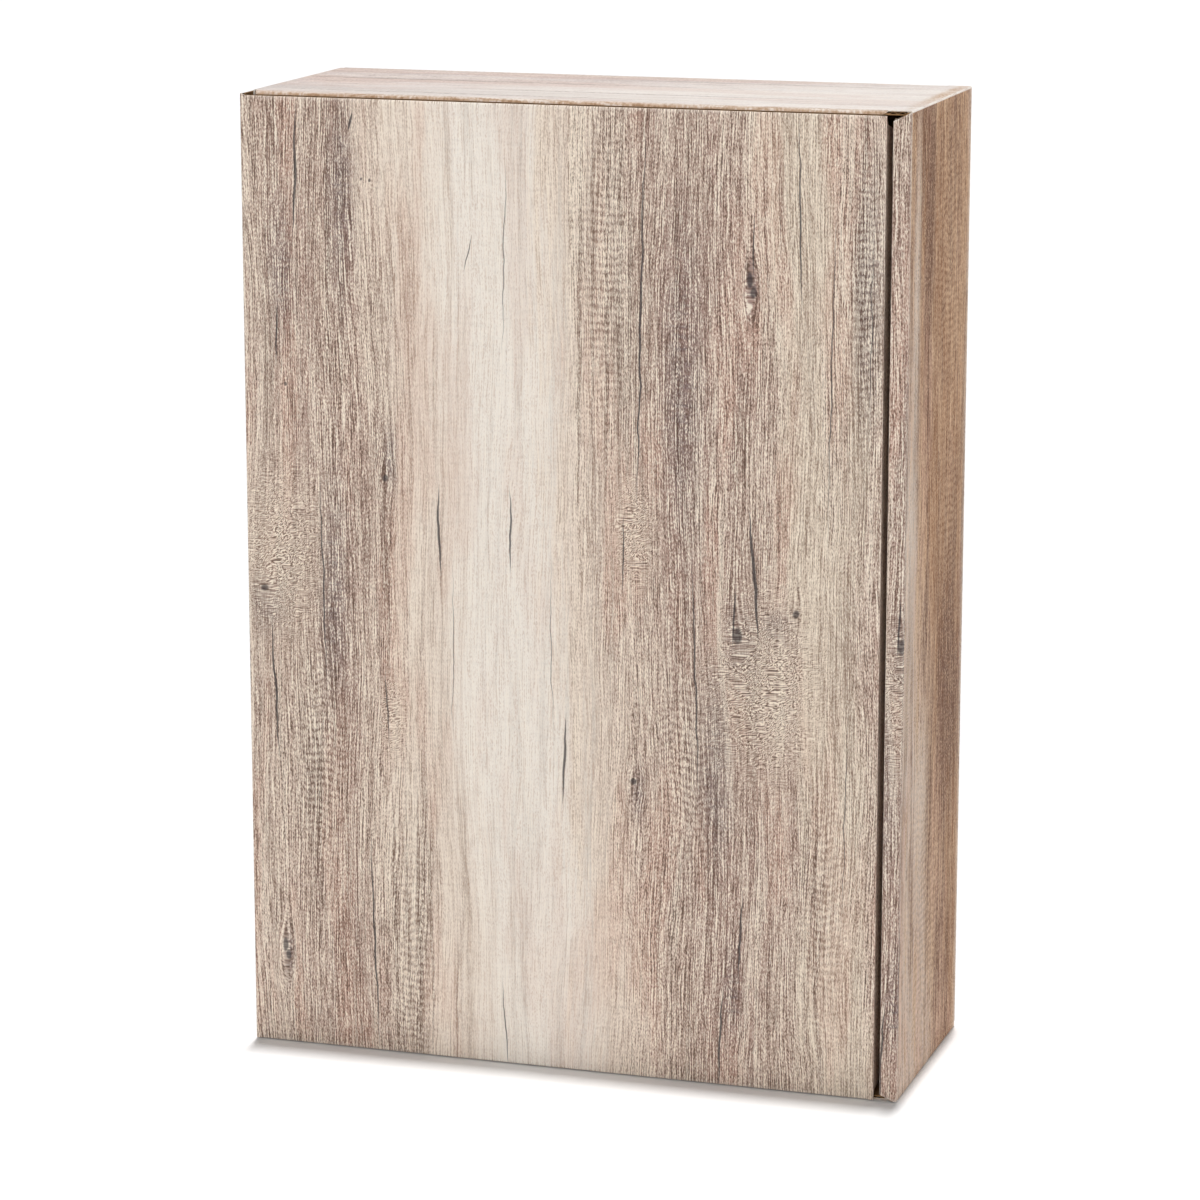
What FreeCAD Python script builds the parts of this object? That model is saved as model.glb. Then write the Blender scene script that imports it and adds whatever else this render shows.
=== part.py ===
import FreeCAD, Part
import os

import Sketcher

# Wine gift box for three bottles, folded from E-flute board, standing upright.
# Origin at the middle of the footprint on the floor, +Z up, the lid faces -Y, millimetres.
# One strip folds round the bottles: tuck flap, lid, left wall, back, right wall, rim, inner wall.
# The top and bottom panels fold from the right wall and tuck in behind the left wall.

SIZES = [
    ("box_width", 250.0, "outside width, hinge corner to rim corner"),
    ("box_depth", 95.0, "outside depth, lid face to back face"),
    ("box_height", 360.0, "outside height, floor to top panel"),
    ("board", 1.6, "thickness of the corrugated board"),
    ("crease_inner", 0.4, "inner radius of a fixed fold"),
    ("crease_leg", 0.2, "flat stretch that a fixed fold keeps past its bend"),
    ("fold_gap", 0.3, "clearance at a fold that opens, and between loose layers"),
    ("rim_flat", 2.4, "flat stretch of the rim between its two folds"),
    ("lid_slot", 2.2, "gap between the lid's closing edge and the rim"),
    ("lid_top_drop", 1.8, "lid's top edge below the top face"),
    ("wall_top_drop", 1.2, "left wall's top edge below the top face"),
    ("floor_gap", 0.4, "lower edges of lid, left wall and rim above the floor"),
    ("front_gap", 0.4, "front edges of top and bottom panels behind the lid"),
    ("rim_top_drop", 0.5, "rim's upper end below the top face at the corner"),
    ("rim_top_mitre", 1.9, "fall of the rim's upper end towards the slot"),
    ("rim_foot_mitre", 2.4, "rise of the rim's lower end towards the slot"),
    ("rim_foot_flat", 1.8, "flat stretch of the rim's lower end at the corner"),
    ("inner_wall_gap", 1.2, "ends of the inner wall off the top and bottom panels"),
    ("lock_tab_length", 36.0, "lock tab of the inner wall, along the height"),
    ("lock_tab_short", 0.2, "lock tab's end below the back face"),
    ("lock_slot_gap", 0.2, "clearance round a lock tab in its slot"),
    ("tuck_gap", 1.9, "gap between the left wall and the tucked flaps"),
    ("lid_tuck_depth", 20.0, "depth of the lid's tuck flap"),
    ("end_tuck_depth", 16.0, "depth of the top and bottom tuck flaps"),
    ("tuck_inset", 3.0, "end of a tuck flap inside its panel's end at the fold"),
    ("tuck_taper", 5.0, "further inset of a tuck flap at its free edge"),
    ("tuck_round", 7.0, "corner radius of a tuck flap's free edge"),
    ("dust_depth", 45.0, "reach of the dust flaps from the back face"),
    ("dust_gap", 2.0, "ends of the dust flaps off the inner wall"),
    ("dust_round", 9.0, "corner radius of a dust flap"),
    ("bottle_diameter", 76.0, "widest bottle that a bay is made for"),
    ("neck_notch", 34.0, "width of a neck notch"),
    ("neck_notch_round", 14.0, "corner radius at the bottom of a neck notch"),
    ("neck_drop", 93.0, "neck support below the top face"),
    ("insert_clear", 9.0, "front of the insert behind the lid's tuck flap"),
    ("insert_gap", 0.2, "insert off the faces that hold it"),
    ("insert_round", 6.0, "corner radius of the dividers and the neck support"),
    ("halving_gap", 0.15, "clearance on each side of a halving slit"),
    ("cut_overrun", 5.0, "reach of a cut past the edge that it opens"),
]

# The outer lock tabs stand this share of the inner wall's height apart.
LOCK_TAB_SPREAD_SHARE = 0.62
LOCK_TABS = 3
BAYS = 3


class Size:
    """A length that carries its value and its formula in the sheet's aliases."""

    def __init__(self, value, formula):
        self.value = value
        self.formula = formula

    def __add__(self, other):
        return Size(self.value + other.value, f"({self.formula} + {other.formula})")

    def __sub__(self, other):
        return Size(self.value - other.value, f"({self.formula} - {other.formula})")

    def __neg__(self):
        return Size(-self.value, f"(0 - {self.formula})")

    def __mul__(self, factor):
        return Size(self.value * factor, f"({self.formula} * {factor})")

    def __truediv__(self, count):
        return Size(self.value / count, f"({self.formula} / {count})")


document = FreeCAD.newDocument("WineGiftBox")
sheet = document.addObject("Spreadsheet::Sheet", "Sizes")
size = {}
for row, (alias, value, note) in enumerate(SIZES, start=1):
    sheet.set(f"A{row}", note)
    sheet.set(f"B{row}", str(value))
    sheet.setAlias(f"B{row}", alias)
    size[alias] = Size(value, f"Sizes.{alias}")
document.recompute()

ZERO = Size(0.0, "0")
WIDTH = size["box_width"]
DEPTH = size["box_depth"]
HEIGHT = size["box_height"]
BOARD = size["board"]
FOLD_GAP = size["fold_gap"]
FLOOR_GAP = size["floor_gap"]
OVERRUN = size["cut_overrun"]

# Folds: outer radius, and the reach of a fixed fold from the outer corner.
FOLD_RADIUS = BOARD + size["crease_inner"]
FOLD_REACH = FOLD_RADIUS + size["crease_leg"]

# Places across the box, measured from the middle of the footprint.
LEFT = -(WIDTH / 2)
RIGHT = WIDTH / 2
FRONT = -(DEPTH / 2)
BACK = DEPTH / 2
RIM_WIDTH = size["rim_flat"] + FOLD_RADIUS * 2
LID_WIDTH = WIDTH - RIM_WIDTH - size["lid_slot"]
LID_HEIGHT = HEIGHT - FLOOR_GAP - size["lid_top_drop"]
PANEL_FRONT = FRONT + BOARD + size["front_gap"]
PANEL_BACK = BACK - FOLD_GAP
PANEL_LENGTH = WIDTH - BOARD - size["tuck_gap"]
CORNER_FRONT = FRONT + FOLD_REACH + FOLD_GAP
DUST_HALF_WIDTH = RIGHT - RIM_WIDTH - size["dust_gap"]

# Inner wall of the hollow right wall.
INNER_WALL_FOOT = BOARD + size["inner_wall_gap"]
INNER_WALL_HEIGHT = HEIGHT - INNER_WALL_FOOT * 2
LOCK_TAB_SPREAD = INNER_WALL_HEIGHT * LOCK_TAB_SPREAD_SHARE

# Insert: bays between the left wall and the inner wall, neck support across the dividers.
INSERT_LEFT = LEFT + BOARD
INSERT_RIGHT = RIGHT - RIM_WIDTH
BAY_WIDTH = (INSERT_RIGHT - INSERT_LEFT - BOARD * (BAYS - 1)) / BAYS
BAY_PITCH = BAY_WIDTH + BOARD
INSERT_BACK = BACK - BOARD - size["insert_gap"]
INSERT_FRONT = FRONT + size["lid_tuck_depth"] + size["insert_clear"]
INSERT_DEPTH = INSERT_BACK - INSERT_FRONT
INSERT_FOOT = BOARD * 2 + FOLD_GAP + size["insert_gap"]
INSERT_HEIGHT = HEIGHT - INSERT_FOOT * 2
NECK_FOOT = HEIGHT - size["neck_drop"]
HALVING_WIDTH = BOARD + size["halving_gap"] * 2


def new_body(label, x, y, z):
    """Start a piece whose own origin stands at a place in the box."""
    body = document.addObject("PartDesign::Body", label)
    body.Label = label
    body.Placement = FreeCAD.Placement(FreeCAD.Vector(x.value, y.value, z.value), FreeCAD.Rotation())
    for axis, place in zip("xyz", (x, y, z)):
        body.setExpression(f"Placement.Base.{axis}", place.formula)
    return body


def new_sketch(body, role):
    """Start a sketch on one of the piece's own origin planes."""
    sketch = body.newObject("Sketcher::SketchObject", f"{body.Name}_sketch")
    plane = next(feature for feature in body.Origin.OriginFeatures if feature.Role == role)
    sketch.AttachmentSupport = [(plane, "")]
    sketch.MapMode = "FlatFace"
    return sketch


def step_between(start, end):
    """Unit step along the sketch axis that a side follows."""
    across = end[0].value - start[0].value
    up = end[1].value - start[1].value
    length = abs(across) + abs(up)
    return across / length, up / length


def outline(sketch, corners):
    """Draw a closed outline through corners (x, y) or (x, y, radius), bound to the sheet.

    A rounded corner joins two sides that lie along the sketch's axes: its arc starts and ends one
    radius from the corner on each side.
    """
    count = len(corners)
    entries = []
    exits = []
    for index, corner in enumerate(corners):
        if len(corner) == 2:
            entries.append(corner)
            exits.append(corner)
            continue
        x, y, radius = corner
        step_in = step_between(corners[index - 1], corner)
        step_out = step_between(corner, corners[(index + 1) % count])
        entries.append((x - radius * step_in[0], y - radius * step_in[1]))
        exits.append((x + radius * step_out[0], y + radius * step_out[1]))
    bindings = []

    def pin(geometry, end, place):
        """Hold one end of a side at its place from the sketch's origin."""
        for kind, length in zip(("DistanceX", "DistanceY"), place):
            constraint = Sketcher.Constraint(kind, -1, 1, geometry, end, length.value)
            bindings.append((sketch.addConstraint(constraint), length))

    sides = []
    for index in range(count):
        start = exits[index]
        end = entries[(index + 1) % count]
        line = Part.LineSegment(
            FreeCAD.Vector(start[0].value, start[1].value),
            FreeCAD.Vector(end[0].value, end[1].value),
        )
        sides.append(sketch.addGeometry(line, False))
    for index, corner in enumerate(corners):
        before = sides[index - 1]
        after = sides[index]
        pin(after, 1, exits[index])
        if len(corner) == 2:
            sketch.addConstraint(Sketcher.Constraint("Coincident", before, 2, after, 1))
            continue
        pin(before, 2, entries[index])
        radius = corner[2]
        entry = [length.value for length in entries[index]]
        leave = [length.value for length in exits[index]]
        centre = (
            entry[0] + leave[0] - corner[0].value,
            entry[1] + leave[1] - corner[1].value,
        )
        turn = (corner[0].value - entry[0]) * (leave[1] - corner[1].value)
        turn -= (corner[1].value - entry[1]) * (leave[0] - corner[0].value)
        first, last = (entry, leave) if turn > 0 else (leave, entry)
        circle = Part.Circle(FreeCAD.Vector(*centre), FreeCAD.Vector(0, 0, 1), radius.value)
        angles = [circle.parameter(FreeCAD.Vector(*place)) for place in (first, last)]
        arc = sketch.addGeometry(Part.ArcOfCircle(circle, *angles), False)
        entry_end, leave_end = (1, 2) if turn > 0 else (2, 1)
        sketch.addConstraint(Sketcher.Constraint("Coincident", before, 2, arc, entry_end))
        sketch.addConstraint(Sketcher.Constraint("Coincident", after, 1, arc, leave_end))
        bound_radius = sketch.addConstraint(Sketcher.Constraint("Radius", arc, radius.value))
        bindings.append((bound_radius, radius))
    for constraint, length in bindings:
        sketch.setExpression(f"Constraints[{constraint}]", length.formula)
    document.recompute()


def strip_outline(sketch, start, end, middle, thickness):
    """Draw a level strip with half-round ends, whose end centres lie at start and end."""
    half = thickness / 2
    foot = middle.value - half.value
    head = middle.value + half.value
    lower = Part.LineSegment(FreeCAD.Vector(start.value, foot), FreeCAD.Vector(end.value, foot))
    upper = Part.LineSegment(FreeCAD.Vector(end.value, head), FreeCAD.Vector(start.value, head))
    rounds = []
    for centre in (end, start):
        circle = Part.Circle(FreeCAD.Vector(centre.value, middle.value), FreeCAD.Vector(0, 0, 1), half.value)
        ends = [FreeCAD.Vector(centre.value, height) for height in (foot, head)]
        if centre is start:
            ends.reverse()
        angles = [circle.parameter(place) for place in ends]
        rounds.append(Part.ArcOfCircle(circle, *angles))
    sides = sketch.addGeometry([lower, rounds[0], upper, rounds[1]], False)
    for side, following in zip(sides, sides[1:] + sides[:1]):
        sketch.addConstraint(Sketcher.Constraint("Tangent", side, 2, following, 1))
    end_round, start_round = sides[1], sides[3]
    sketch.addConstraint(Sketcher.Constraint("Equal", end_round, start_round))
    sketch.addConstraint(Sketcher.Constraint("Horizontal", sides[0]))
    bindings = [
        (Sketcher.Constraint("DistanceX", -1, 1, start_round, 3, start.value), start),
        (Sketcher.Constraint("DistanceY", -1, 1, start_round, 3, middle.value), middle),
        (Sketcher.Constraint("DistanceX", -1, 1, end_round, 3, end.value), end),
        (Sketcher.Constraint("Radius", start_round, half.value), half),
    ]
    for constraint, length in bindings:
        number = sketch.addConstraint(constraint)
        sketch.setExpression(f"Constraints[{number}]", length.formula)
    document.recompute()


def box_corners(x_low, x_high, y_low, y_high):
    """Corners of a rectangle along the sketch's axes."""
    return [(x_low, y_low), (x_high, y_low), (x_high, y_high), (x_low, y_high)]


def extrude(body, sketch, length, backwards=False):
    """Add material: a sketch carried along its plane's normal."""
    feature = body.newObject("PartDesign::Pad", f"{body.Name}_pad")
    feature.Profile = sketch
    feature.setExpression("Length", length.formula)
    feature.Reversed = backwards
    document.recompute()
    return feature


def pad(body, role, corners, length, backwards=False):
    """Add material: an outline on an origin plane, carried along the plane's normal."""
    sketch = new_sketch(body, role)
    outline(sketch, corners)
    return extrude(body, sketch, length, backwards)


def cut(body, role, corners):
    """Take material away all the way through the piece, along the plane's normal."""
    volume_before = body.Shape.Volume
    sketch = new_sketch(body, role)
    outline(sketch, corners)
    feature = body.newObject("PartDesign::Pocket", f"{body.Name}_cut")
    feature.Profile = sketch
    feature.Type = "ThroughAll"
    feature.SideType = "Symmetric"
    document.recompute()
    if body.Shape.Volume >= volume_before:
        raise RuntimeError(f"a cut in {body.Label} takes nothing away")
    return feature


def repeat(body, feature, axis, length, count):
    """Repeat a feature in a row along one of its sketch's axes."""
    pattern = body.newObject("PartDesign::LinearPattern", f"{body.Name}_row")
    pattern.Originals = [feature]
    pattern.Direction = (feature.Profile[0], [axis])
    pattern.setExpression("Length", length.formula)
    pattern.Occurrences = count
    body.Tip = pattern
    document.recompute()
    return pattern


def round_edges(body, places, radius):
    """Round the straight edges of the piece that run through places (x, y, z), None for any."""
    base = body.Tip
    names = []
    for number, edge in enumerate(base.Shape.Edges, start=1):
        for place in places:
            wanted = [(axis, length.value) for axis, length in enumerate(place) if length is not None]
            points = [vertex.Point for vertex in edge.Vertexes]
            if all(abs(point[axis] - value) < Part.Precision.confusion() * 10 for point in points
                   for axis, value in wanted):
                names.append(f"Edge{number}")
    if len(names) != len(places):
        raise RuntimeError(f"{body.Label}: {len(names)} edges found to round, not {len(places)}")
    feature = body.newObject("PartDesign::Fillet", f"{body.Name}_round")
    feature.Base = (base, names)
    feature.setExpression("Radius", radius.formula)
    document.recompute()
    return feature


def back_panel():
    """Back of the box, with a row of slots for the inner wall's lock tabs."""
    body = new_body("back_panel", ZERO, BACK, HEIGHT / 2)
    half_width = RIGHT - FOLD_REACH
    half_height = HEIGHT / 2 - BOARD - FOLD_GAP - FOLD_REACH
    pad(body, "XZ_Plane", box_corners(-half_width, half_width, -half_height, half_height), BOARD)
    slot_gap = size["lock_slot_gap"]
    slot_left = RIGHT - RIM_WIDTH - slot_gap
    slot_right = RIGHT - RIM_WIDTH + BOARD + slot_gap
    slot_foot = -(LOCK_TAB_SPREAD / 2) - size["lock_tab_length"] / 2 - slot_gap
    slot_head = -(LOCK_TAB_SPREAD / 2) + size["lock_tab_length"] / 2 + slot_gap
    slot = cut(body, "XZ_Plane", box_corners(slot_left, slot_right, slot_foot, slot_head))
    repeat(body, slot, "V_Axis", LOCK_TAB_SPREAD, LOCK_TABS)


def left_wall():
    """Left wall with its fold to the back; the lid hinges along its front edge."""
    body = new_body("left_wall", LEFT, BACK, FLOOR_GAP)
    front = -(DEPTH - BOARD - FOLD_GAP)
    corners = [
        (ZERO, front),
        (BOARD, front),
        (BOARD, -BOARD, size["crease_inner"]),
        (FOLD_REACH, -BOARD),
        (FOLD_REACH, ZERO),
        (ZERO, ZERO, FOLD_RADIUS),
    ]
    pad(body, "XY_Plane", corners, HEIGHT - FLOOR_GAP - size["wall_top_drop"])


def right_wall():
    """Outer layer of the hollow right wall, with its fold to the back."""
    body = new_body("right_wall", RIGHT, BACK, FOLD_REACH)
    front = -(DEPTH - FOLD_REACH)
    corners = [
        (-BOARD, front),
        (ZERO, front),
        (ZERO, ZERO, FOLD_RADIUS),
        (-FOLD_REACH, ZERO),
        (-FOLD_REACH, -BOARD),
        (-BOARD, -BOARD, size["crease_inner"]),
    ]
    pad(body, "XY_Plane", corners, HEIGHT - FOLD_REACH - BOARD - FOLD_GAP)


def right_rim():
    """Narrow front of the hollow right wall: two folds with mitred ends."""
    body = new_body("right_rim", RIGHT, FRONT, FLOOR_GAP)
    corners = [
        (-RIM_WIDTH, ZERO, FOLD_RADIUS),
        (ZERO, ZERO, FOLD_RADIUS),
        (ZERO, FOLD_REACH),
        (-BOARD, FOLD_REACH),
        (-BOARD, BOARD, size["crease_inner"]),
        (-RIM_WIDTH + BOARD, BOARD, size["crease_inner"]),
        (-RIM_WIDTH + BOARD, FOLD_REACH),
        (-RIM_WIDTH, FOLD_REACH),
    ]
    height = HEIGHT - FLOOR_GAP - size["rim_top_drop"]
    pad(body, "XY_Plane", corners, height)
    past_slot = -RIM_WIDTH - OVERRUN
    top_fall = height - size["rim_top_mitre"]
    cut(body, "XZ_Plane", [
        (ZERO, height),
        (ZERO, height + OVERRUN),
        (past_slot, height + OVERRUN),
        (past_slot, top_fall),
        (-RIM_WIDTH, top_fall),
    ])
    foot_rise = size["rim_foot_mitre"]
    cut(body, "XZ_Plane", [
        (-size["rim_foot_flat"], ZERO),
        (-RIM_WIDTH, foot_rise),
        (past_slot, foot_rise),
        (past_slot, -OVERRUN),
        (-size["rim_foot_flat"], -OVERRUN),
    ])


def right_inner_wall():
    """Inner layer of the hollow right wall; its lock tabs stand in the back panel's slots."""
    body = new_body("right_inner_wall", RIGHT - RIM_WIDTH, BACK, HEIGHT / 2)
    half_height = INNER_WALL_HEIGHT / 2
    pad(body, "YZ_Plane", box_corners(-(DEPTH - FOLD_REACH), -BOARD, -half_height, half_height), BOARD)
    tab_foot = -(LOCK_TAB_SPREAD / 2) - size["lock_tab_length"] / 2
    tab_head = -(LOCK_TAB_SPREAD / 2) + size["lock_tab_length"] / 2
    tab_end = -size["lock_tab_short"]
    tab_root = -BOARD * 2
    tab = pad(body, "YZ_Plane", box_corners(tab_root, tab_end, tab_foot, tab_head), BOARD)
    repeat(body, tab, "V_Axis", LOCK_TAB_SPREAD, LOCK_TABS)


def clear_rim(body):
    """Cut the front right corner of the top or bottom panel clear of the rim's folds."""
    cut(body, "XY_Plane", [
        (-RIM_WIDTH - size["lid_slot"], PANEL_FRONT),
        (-RIM_WIDTH - size["lid_slot"], PANEL_FRONT - OVERRUN),
        (OVERRUN, PANEL_FRONT - OVERRUN),
        (OVERRUN, CORNER_FRONT),
        (-FOLD_RADIUS, CORNER_FRONT),
    ])


def top_panel():
    """Top, hinged at the right wall's upper edge; its folds are half-round beads on their axes."""
    body = new_body("top_panel", RIGHT, ZERO, HEIGHT)
    sketch = new_sketch(body, "XZ_Plane")
    half = BOARD / 2
    strip_outline(sketch, -PANEL_LENGTH + half, -half, -half, BOARD)
    sketch.setExpression("AttachmentOffset.Base.z", (-PANEL_BACK).formula)
    extrude(body, sketch, PANEL_BACK - PANEL_FRONT)
    clear_rim(body)


def top_tuck_flap():
    """Tuck flap of the top, behind the left wall, tapered towards its free edge."""
    body = new_body("top_tuck_flap", RIGHT - PANEL_LENGTH, ZERO, HEIGHT)
    front = PANEL_FRONT + size["tuck_inset"]
    back = PANEL_BACK - size["tuck_inset"]
    root = -BOARD - FOLD_GAP
    tip = -size["end_tuck_depth"]
    corners = [
        (front, root),
        (front + size["tuck_taper"], tip),
        (back - size["tuck_taper"], tip),
        (back, root),
    ]
    pad(body, "YZ_Plane", corners, BOARD)
    tips = [(None, front + size["tuck_taper"], tip), (None, back - size["tuck_taper"], tip)]
    round_edges(body, tips, size["tuck_round"])


def dust_flap(label, fold_height, turned):
    """Flap folded forward from the back panel's end, under the top or over the bottom panel."""
    body = new_body(label, ZERO, BACK, fold_height)
    if turned:
        half_turn = FreeCAD.Rotation(FreeCAD.Vector(0, 1, 0), 180)
        body.Placement = FreeCAD.Placement(body.Placement.Base, half_turn)
    reach = -size["dust_depth"]
    corners = [
        (reach, -BOARD),
        (-BOARD, -BOARD, size["crease_inner"]),
        (-BOARD, -FOLD_REACH),
        (ZERO, -FOLD_REACH),
        (ZERO, ZERO, FOLD_RADIUS),
        (reach, ZERO),
    ]
    flap = pad(body, "YZ_Plane", corners, DUST_HALF_WIDTH * 2)
    flap.SideType = "Symmetric"
    document.recompute()
    round_edges(body, [(-DUST_HALF_WIDTH, reach, None), (DUST_HALF_WIDTH, reach, None)], size["dust_round"])


def bottom_panel():
    """Bottom, folded from the right wall's lower edge, with its front corner cut clear of the rim."""
    body = new_body("bottom_panel", RIGHT, ZERO, ZERO)
    left_end = -PANEL_LENGTH + FOLD_REACH
    corners = [
        (left_end, ZERO),
        (ZERO, ZERO, FOLD_RADIUS),
        (ZERO, FOLD_REACH),
        (-BOARD, FOLD_REACH),
        (-BOARD, BOARD, size["crease_inner"]),
        (left_end, BOARD),
    ]
    plate = pad(body, "XZ_Plane", corners, PANEL_BACK - PANEL_FRONT)
    plate.Profile[0].setExpression("AttachmentOffset.Base.z", (-PANEL_BACK).formula)
    document.recompute()
    clear_rim(body)


def bottom_tuck_flap():
    """Tuck flap of the bottom, folded up behind the left wall."""
    body = new_body("bottom_tuck_flap", RIGHT - PANEL_LENGTH, ZERO, ZERO)
    tip = size["end_tuck_depth"]
    corners = [
        (FOLD_REACH, ZERO),
        (FOLD_REACH, BOARD),
        (BOARD, BOARD, size["crease_inner"]),
        (BOARD, tip),
        (ZERO, tip),
        (ZERO, ZERO, FOLD_RADIUS),
    ]
    front = PANEL_FRONT + size["tuck_inset"]
    back = PANEL_BACK - size["tuck_inset"]
    flap = pad(body, "XZ_Plane", corners, back - front)
    flap.Profile[0].setExpression("AttachmentOffset.Base.z", (-back).formula)
    document.recompute()
    for edge, inward in ((front, size["tuck_taper"]), (back, -size["tuck_taper"])):
        outside = edge - OVERRUN if inward.value > 0 else edge + OVERRUN
        cut(body, "YZ_Plane", [
            (edge, FOLD_REACH),
            (edge + inward, tip),
            (edge + inward, tip + OVERRUN),
            (outside, tip + OVERRUN),
            (outside, FOLD_REACH),
        ])
    tips = [(None, front + size["tuck_taper"], tip), (None, back - size["tuck_taper"], tip)]
    round_edges(body, tips, size["tuck_round"])


def lid_panel():
    """Full-height front that swings on the fold at the left wall; half-round beads on both fold axes."""
    body = new_body("lid_panel", LEFT, FRONT, FLOOR_GAP)
    sketch = new_sketch(body, "XY_Plane")
    half = BOARD / 2
    strip_outline(sketch, half, LID_WIDTH - half, half, BOARD)
    extrude(body, sketch, LID_HEIGHT)


def lid_tuck_flap():
    """Tuck flap of the lid, inside the slot beside the rim, tapered towards its free edge."""
    body = new_body("lid_tuck_flap", LEFT + LID_WIDTH, FRONT, FLOOR_GAP)
    foot = size["tuck_inset"]
    head = LID_HEIGHT - size["tuck_inset"]
    root = BOARD + FOLD_GAP
    tip = size["lid_tuck_depth"]
    corners = [
        (root, foot),
        (tip, foot + size["tuck_taper"]),
        (tip, head - size["tuck_taper"]),
        (root, head),
    ]
    pad(body, "YZ_Plane", corners, BOARD, backwards=True)
    tips = [(None, tip, foot + size["tuck_taper"]), (None, tip, head - size["tuck_taper"])]
    round_edges(body, tips, size["tuck_round"])


def divider(label, place):
    """Upright divider between two bays, slit from the front to halve with the neck support."""
    body = new_body(label, place, INSERT_BACK, INSERT_FOOT)
    plate = pad(body, "YZ_Plane", box_corners(-INSERT_DEPTH, ZERO, ZERO, INSERT_HEIGHT), BOARD)
    plate.SideType = "Symmetric"
    document.recompute()
    slit_middle = NECK_FOOT + BOARD / 2 - INSERT_FOOT
    slit_foot = slit_middle - HALVING_WIDTH / 2
    slit_head = slit_middle + HALVING_WIDTH / 2
    slit_end = -(INSERT_DEPTH / 2) + size["halving_gap"]
    cut(body, "YZ_Plane", box_corners(-INSERT_DEPTH - OVERRUN, slit_end, slit_foot, slit_head))
    front_corners = [(None, -INSERT_DEPTH, ZERO), (None, -INSERT_DEPTH, INSERT_HEIGHT)]
    round_edges(body, front_corners, size["insert_round"])


def neck_support():
    """Level board with a notch for each bottle neck, slit from the back to halve with the dividers."""
    left = INSERT_LEFT + size["insert_gap"]
    body = new_body("neck_support", left, INSERT_BACK, NECK_FOOT)
    length = INSERT_RIGHT - size["insert_gap"] - left
    pad(body, "XY_Plane", box_corners(ZERO, length, -INSERT_DEPTH, ZERO), BOARD)
    first_slit = BAY_WIDTH + BOARD / 2 - size["insert_gap"]
    slit = cut(body, "XY_Plane", box_corners(
        first_slit - HALVING_WIDTH / 2,
        first_slit + HALVING_WIDTH / 2,
        -(INSERT_DEPTH / 2) - size["halving_gap"],
        OVERRUN,
    ))
    repeat(body, slit, "H_Axis", BAY_PITCH * (BAYS - 2), BAYS - 1)
    bottle_axis = BACK - BOARD - size["bottle_diameter"] / 2 - INSERT_BACK
    first_notch = BAY_WIDTH / 2 - size["insert_gap"]
    notch_left = first_notch - size["neck_notch"] / 2
    notch_right = first_notch + size["neck_notch"] / 2
    notch_end = bottle_axis + size["neck_notch"] / 2
    notch = cut(body, "XY_Plane", [
        (notch_left, -INSERT_DEPTH - OVERRUN),
        (notch_right, -INSERT_DEPTH - OVERRUN),
        (notch_right, notch_end, size["neck_notch_round"]),
        (notch_left, notch_end, size["neck_notch_round"]),
    ])
    repeat(body, notch, "H_Axis", BAY_PITCH * (BAYS - 1), BAYS)
    front_corners = [(ZERO, -INSERT_DEPTH, None), (length, -INSERT_DEPTH, None)]
    round_edges(body, front_corners, size["insert_round"])


def check_and_write():
    """Refuse a failed piece, then write every piece to its own file."""
    for item in document.Objects:
        if "Invalid" in item.State or "Error" in item.State:
            raise RuntimeError(f"{item.Label} failed: {item.State}")
    bodies = [item for item in document.Objects if item.TypeId == "PartDesign::Body"]
    for body in bodies:
        if body.Shape.isNull() or not body.Shape.isValid() or len(body.Shape.Solids) != 1:
            raise RuntimeError(f"{body.Label} is not one sound solid")
    os.makedirs("parts", exist_ok=True)
    for body in bodies:
        body.Shape.exportStep(f"parts/{body.Label}.step")
        print(body.Label, round(body.Shape.Volume, 1), body.Shape.BoundBox)


back_panel()
left_wall()
right_wall()
right_rim()
right_inner_wall()
top_panel()
top_tuck_flap()
dust_flap("top_dust_flap", HEIGHT - BOARD - FOLD_GAP, turned=False)
dust_flap("bottom_dust_flap", BOARD + FOLD_GAP, turned=True)
bottom_panel()
bottom_tuck_flap()
lid_panel()
lid_tuck_flap()
divider("divider_left", INSERT_LEFT + BAY_WIDTH + BOARD / 2)
divider("divider_right", INSERT_LEFT + BAY_WIDTH + BAY_PITCH + BOARD / 2)
neck_support()
document.recompute()
check_and_write()
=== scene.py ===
import math

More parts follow.
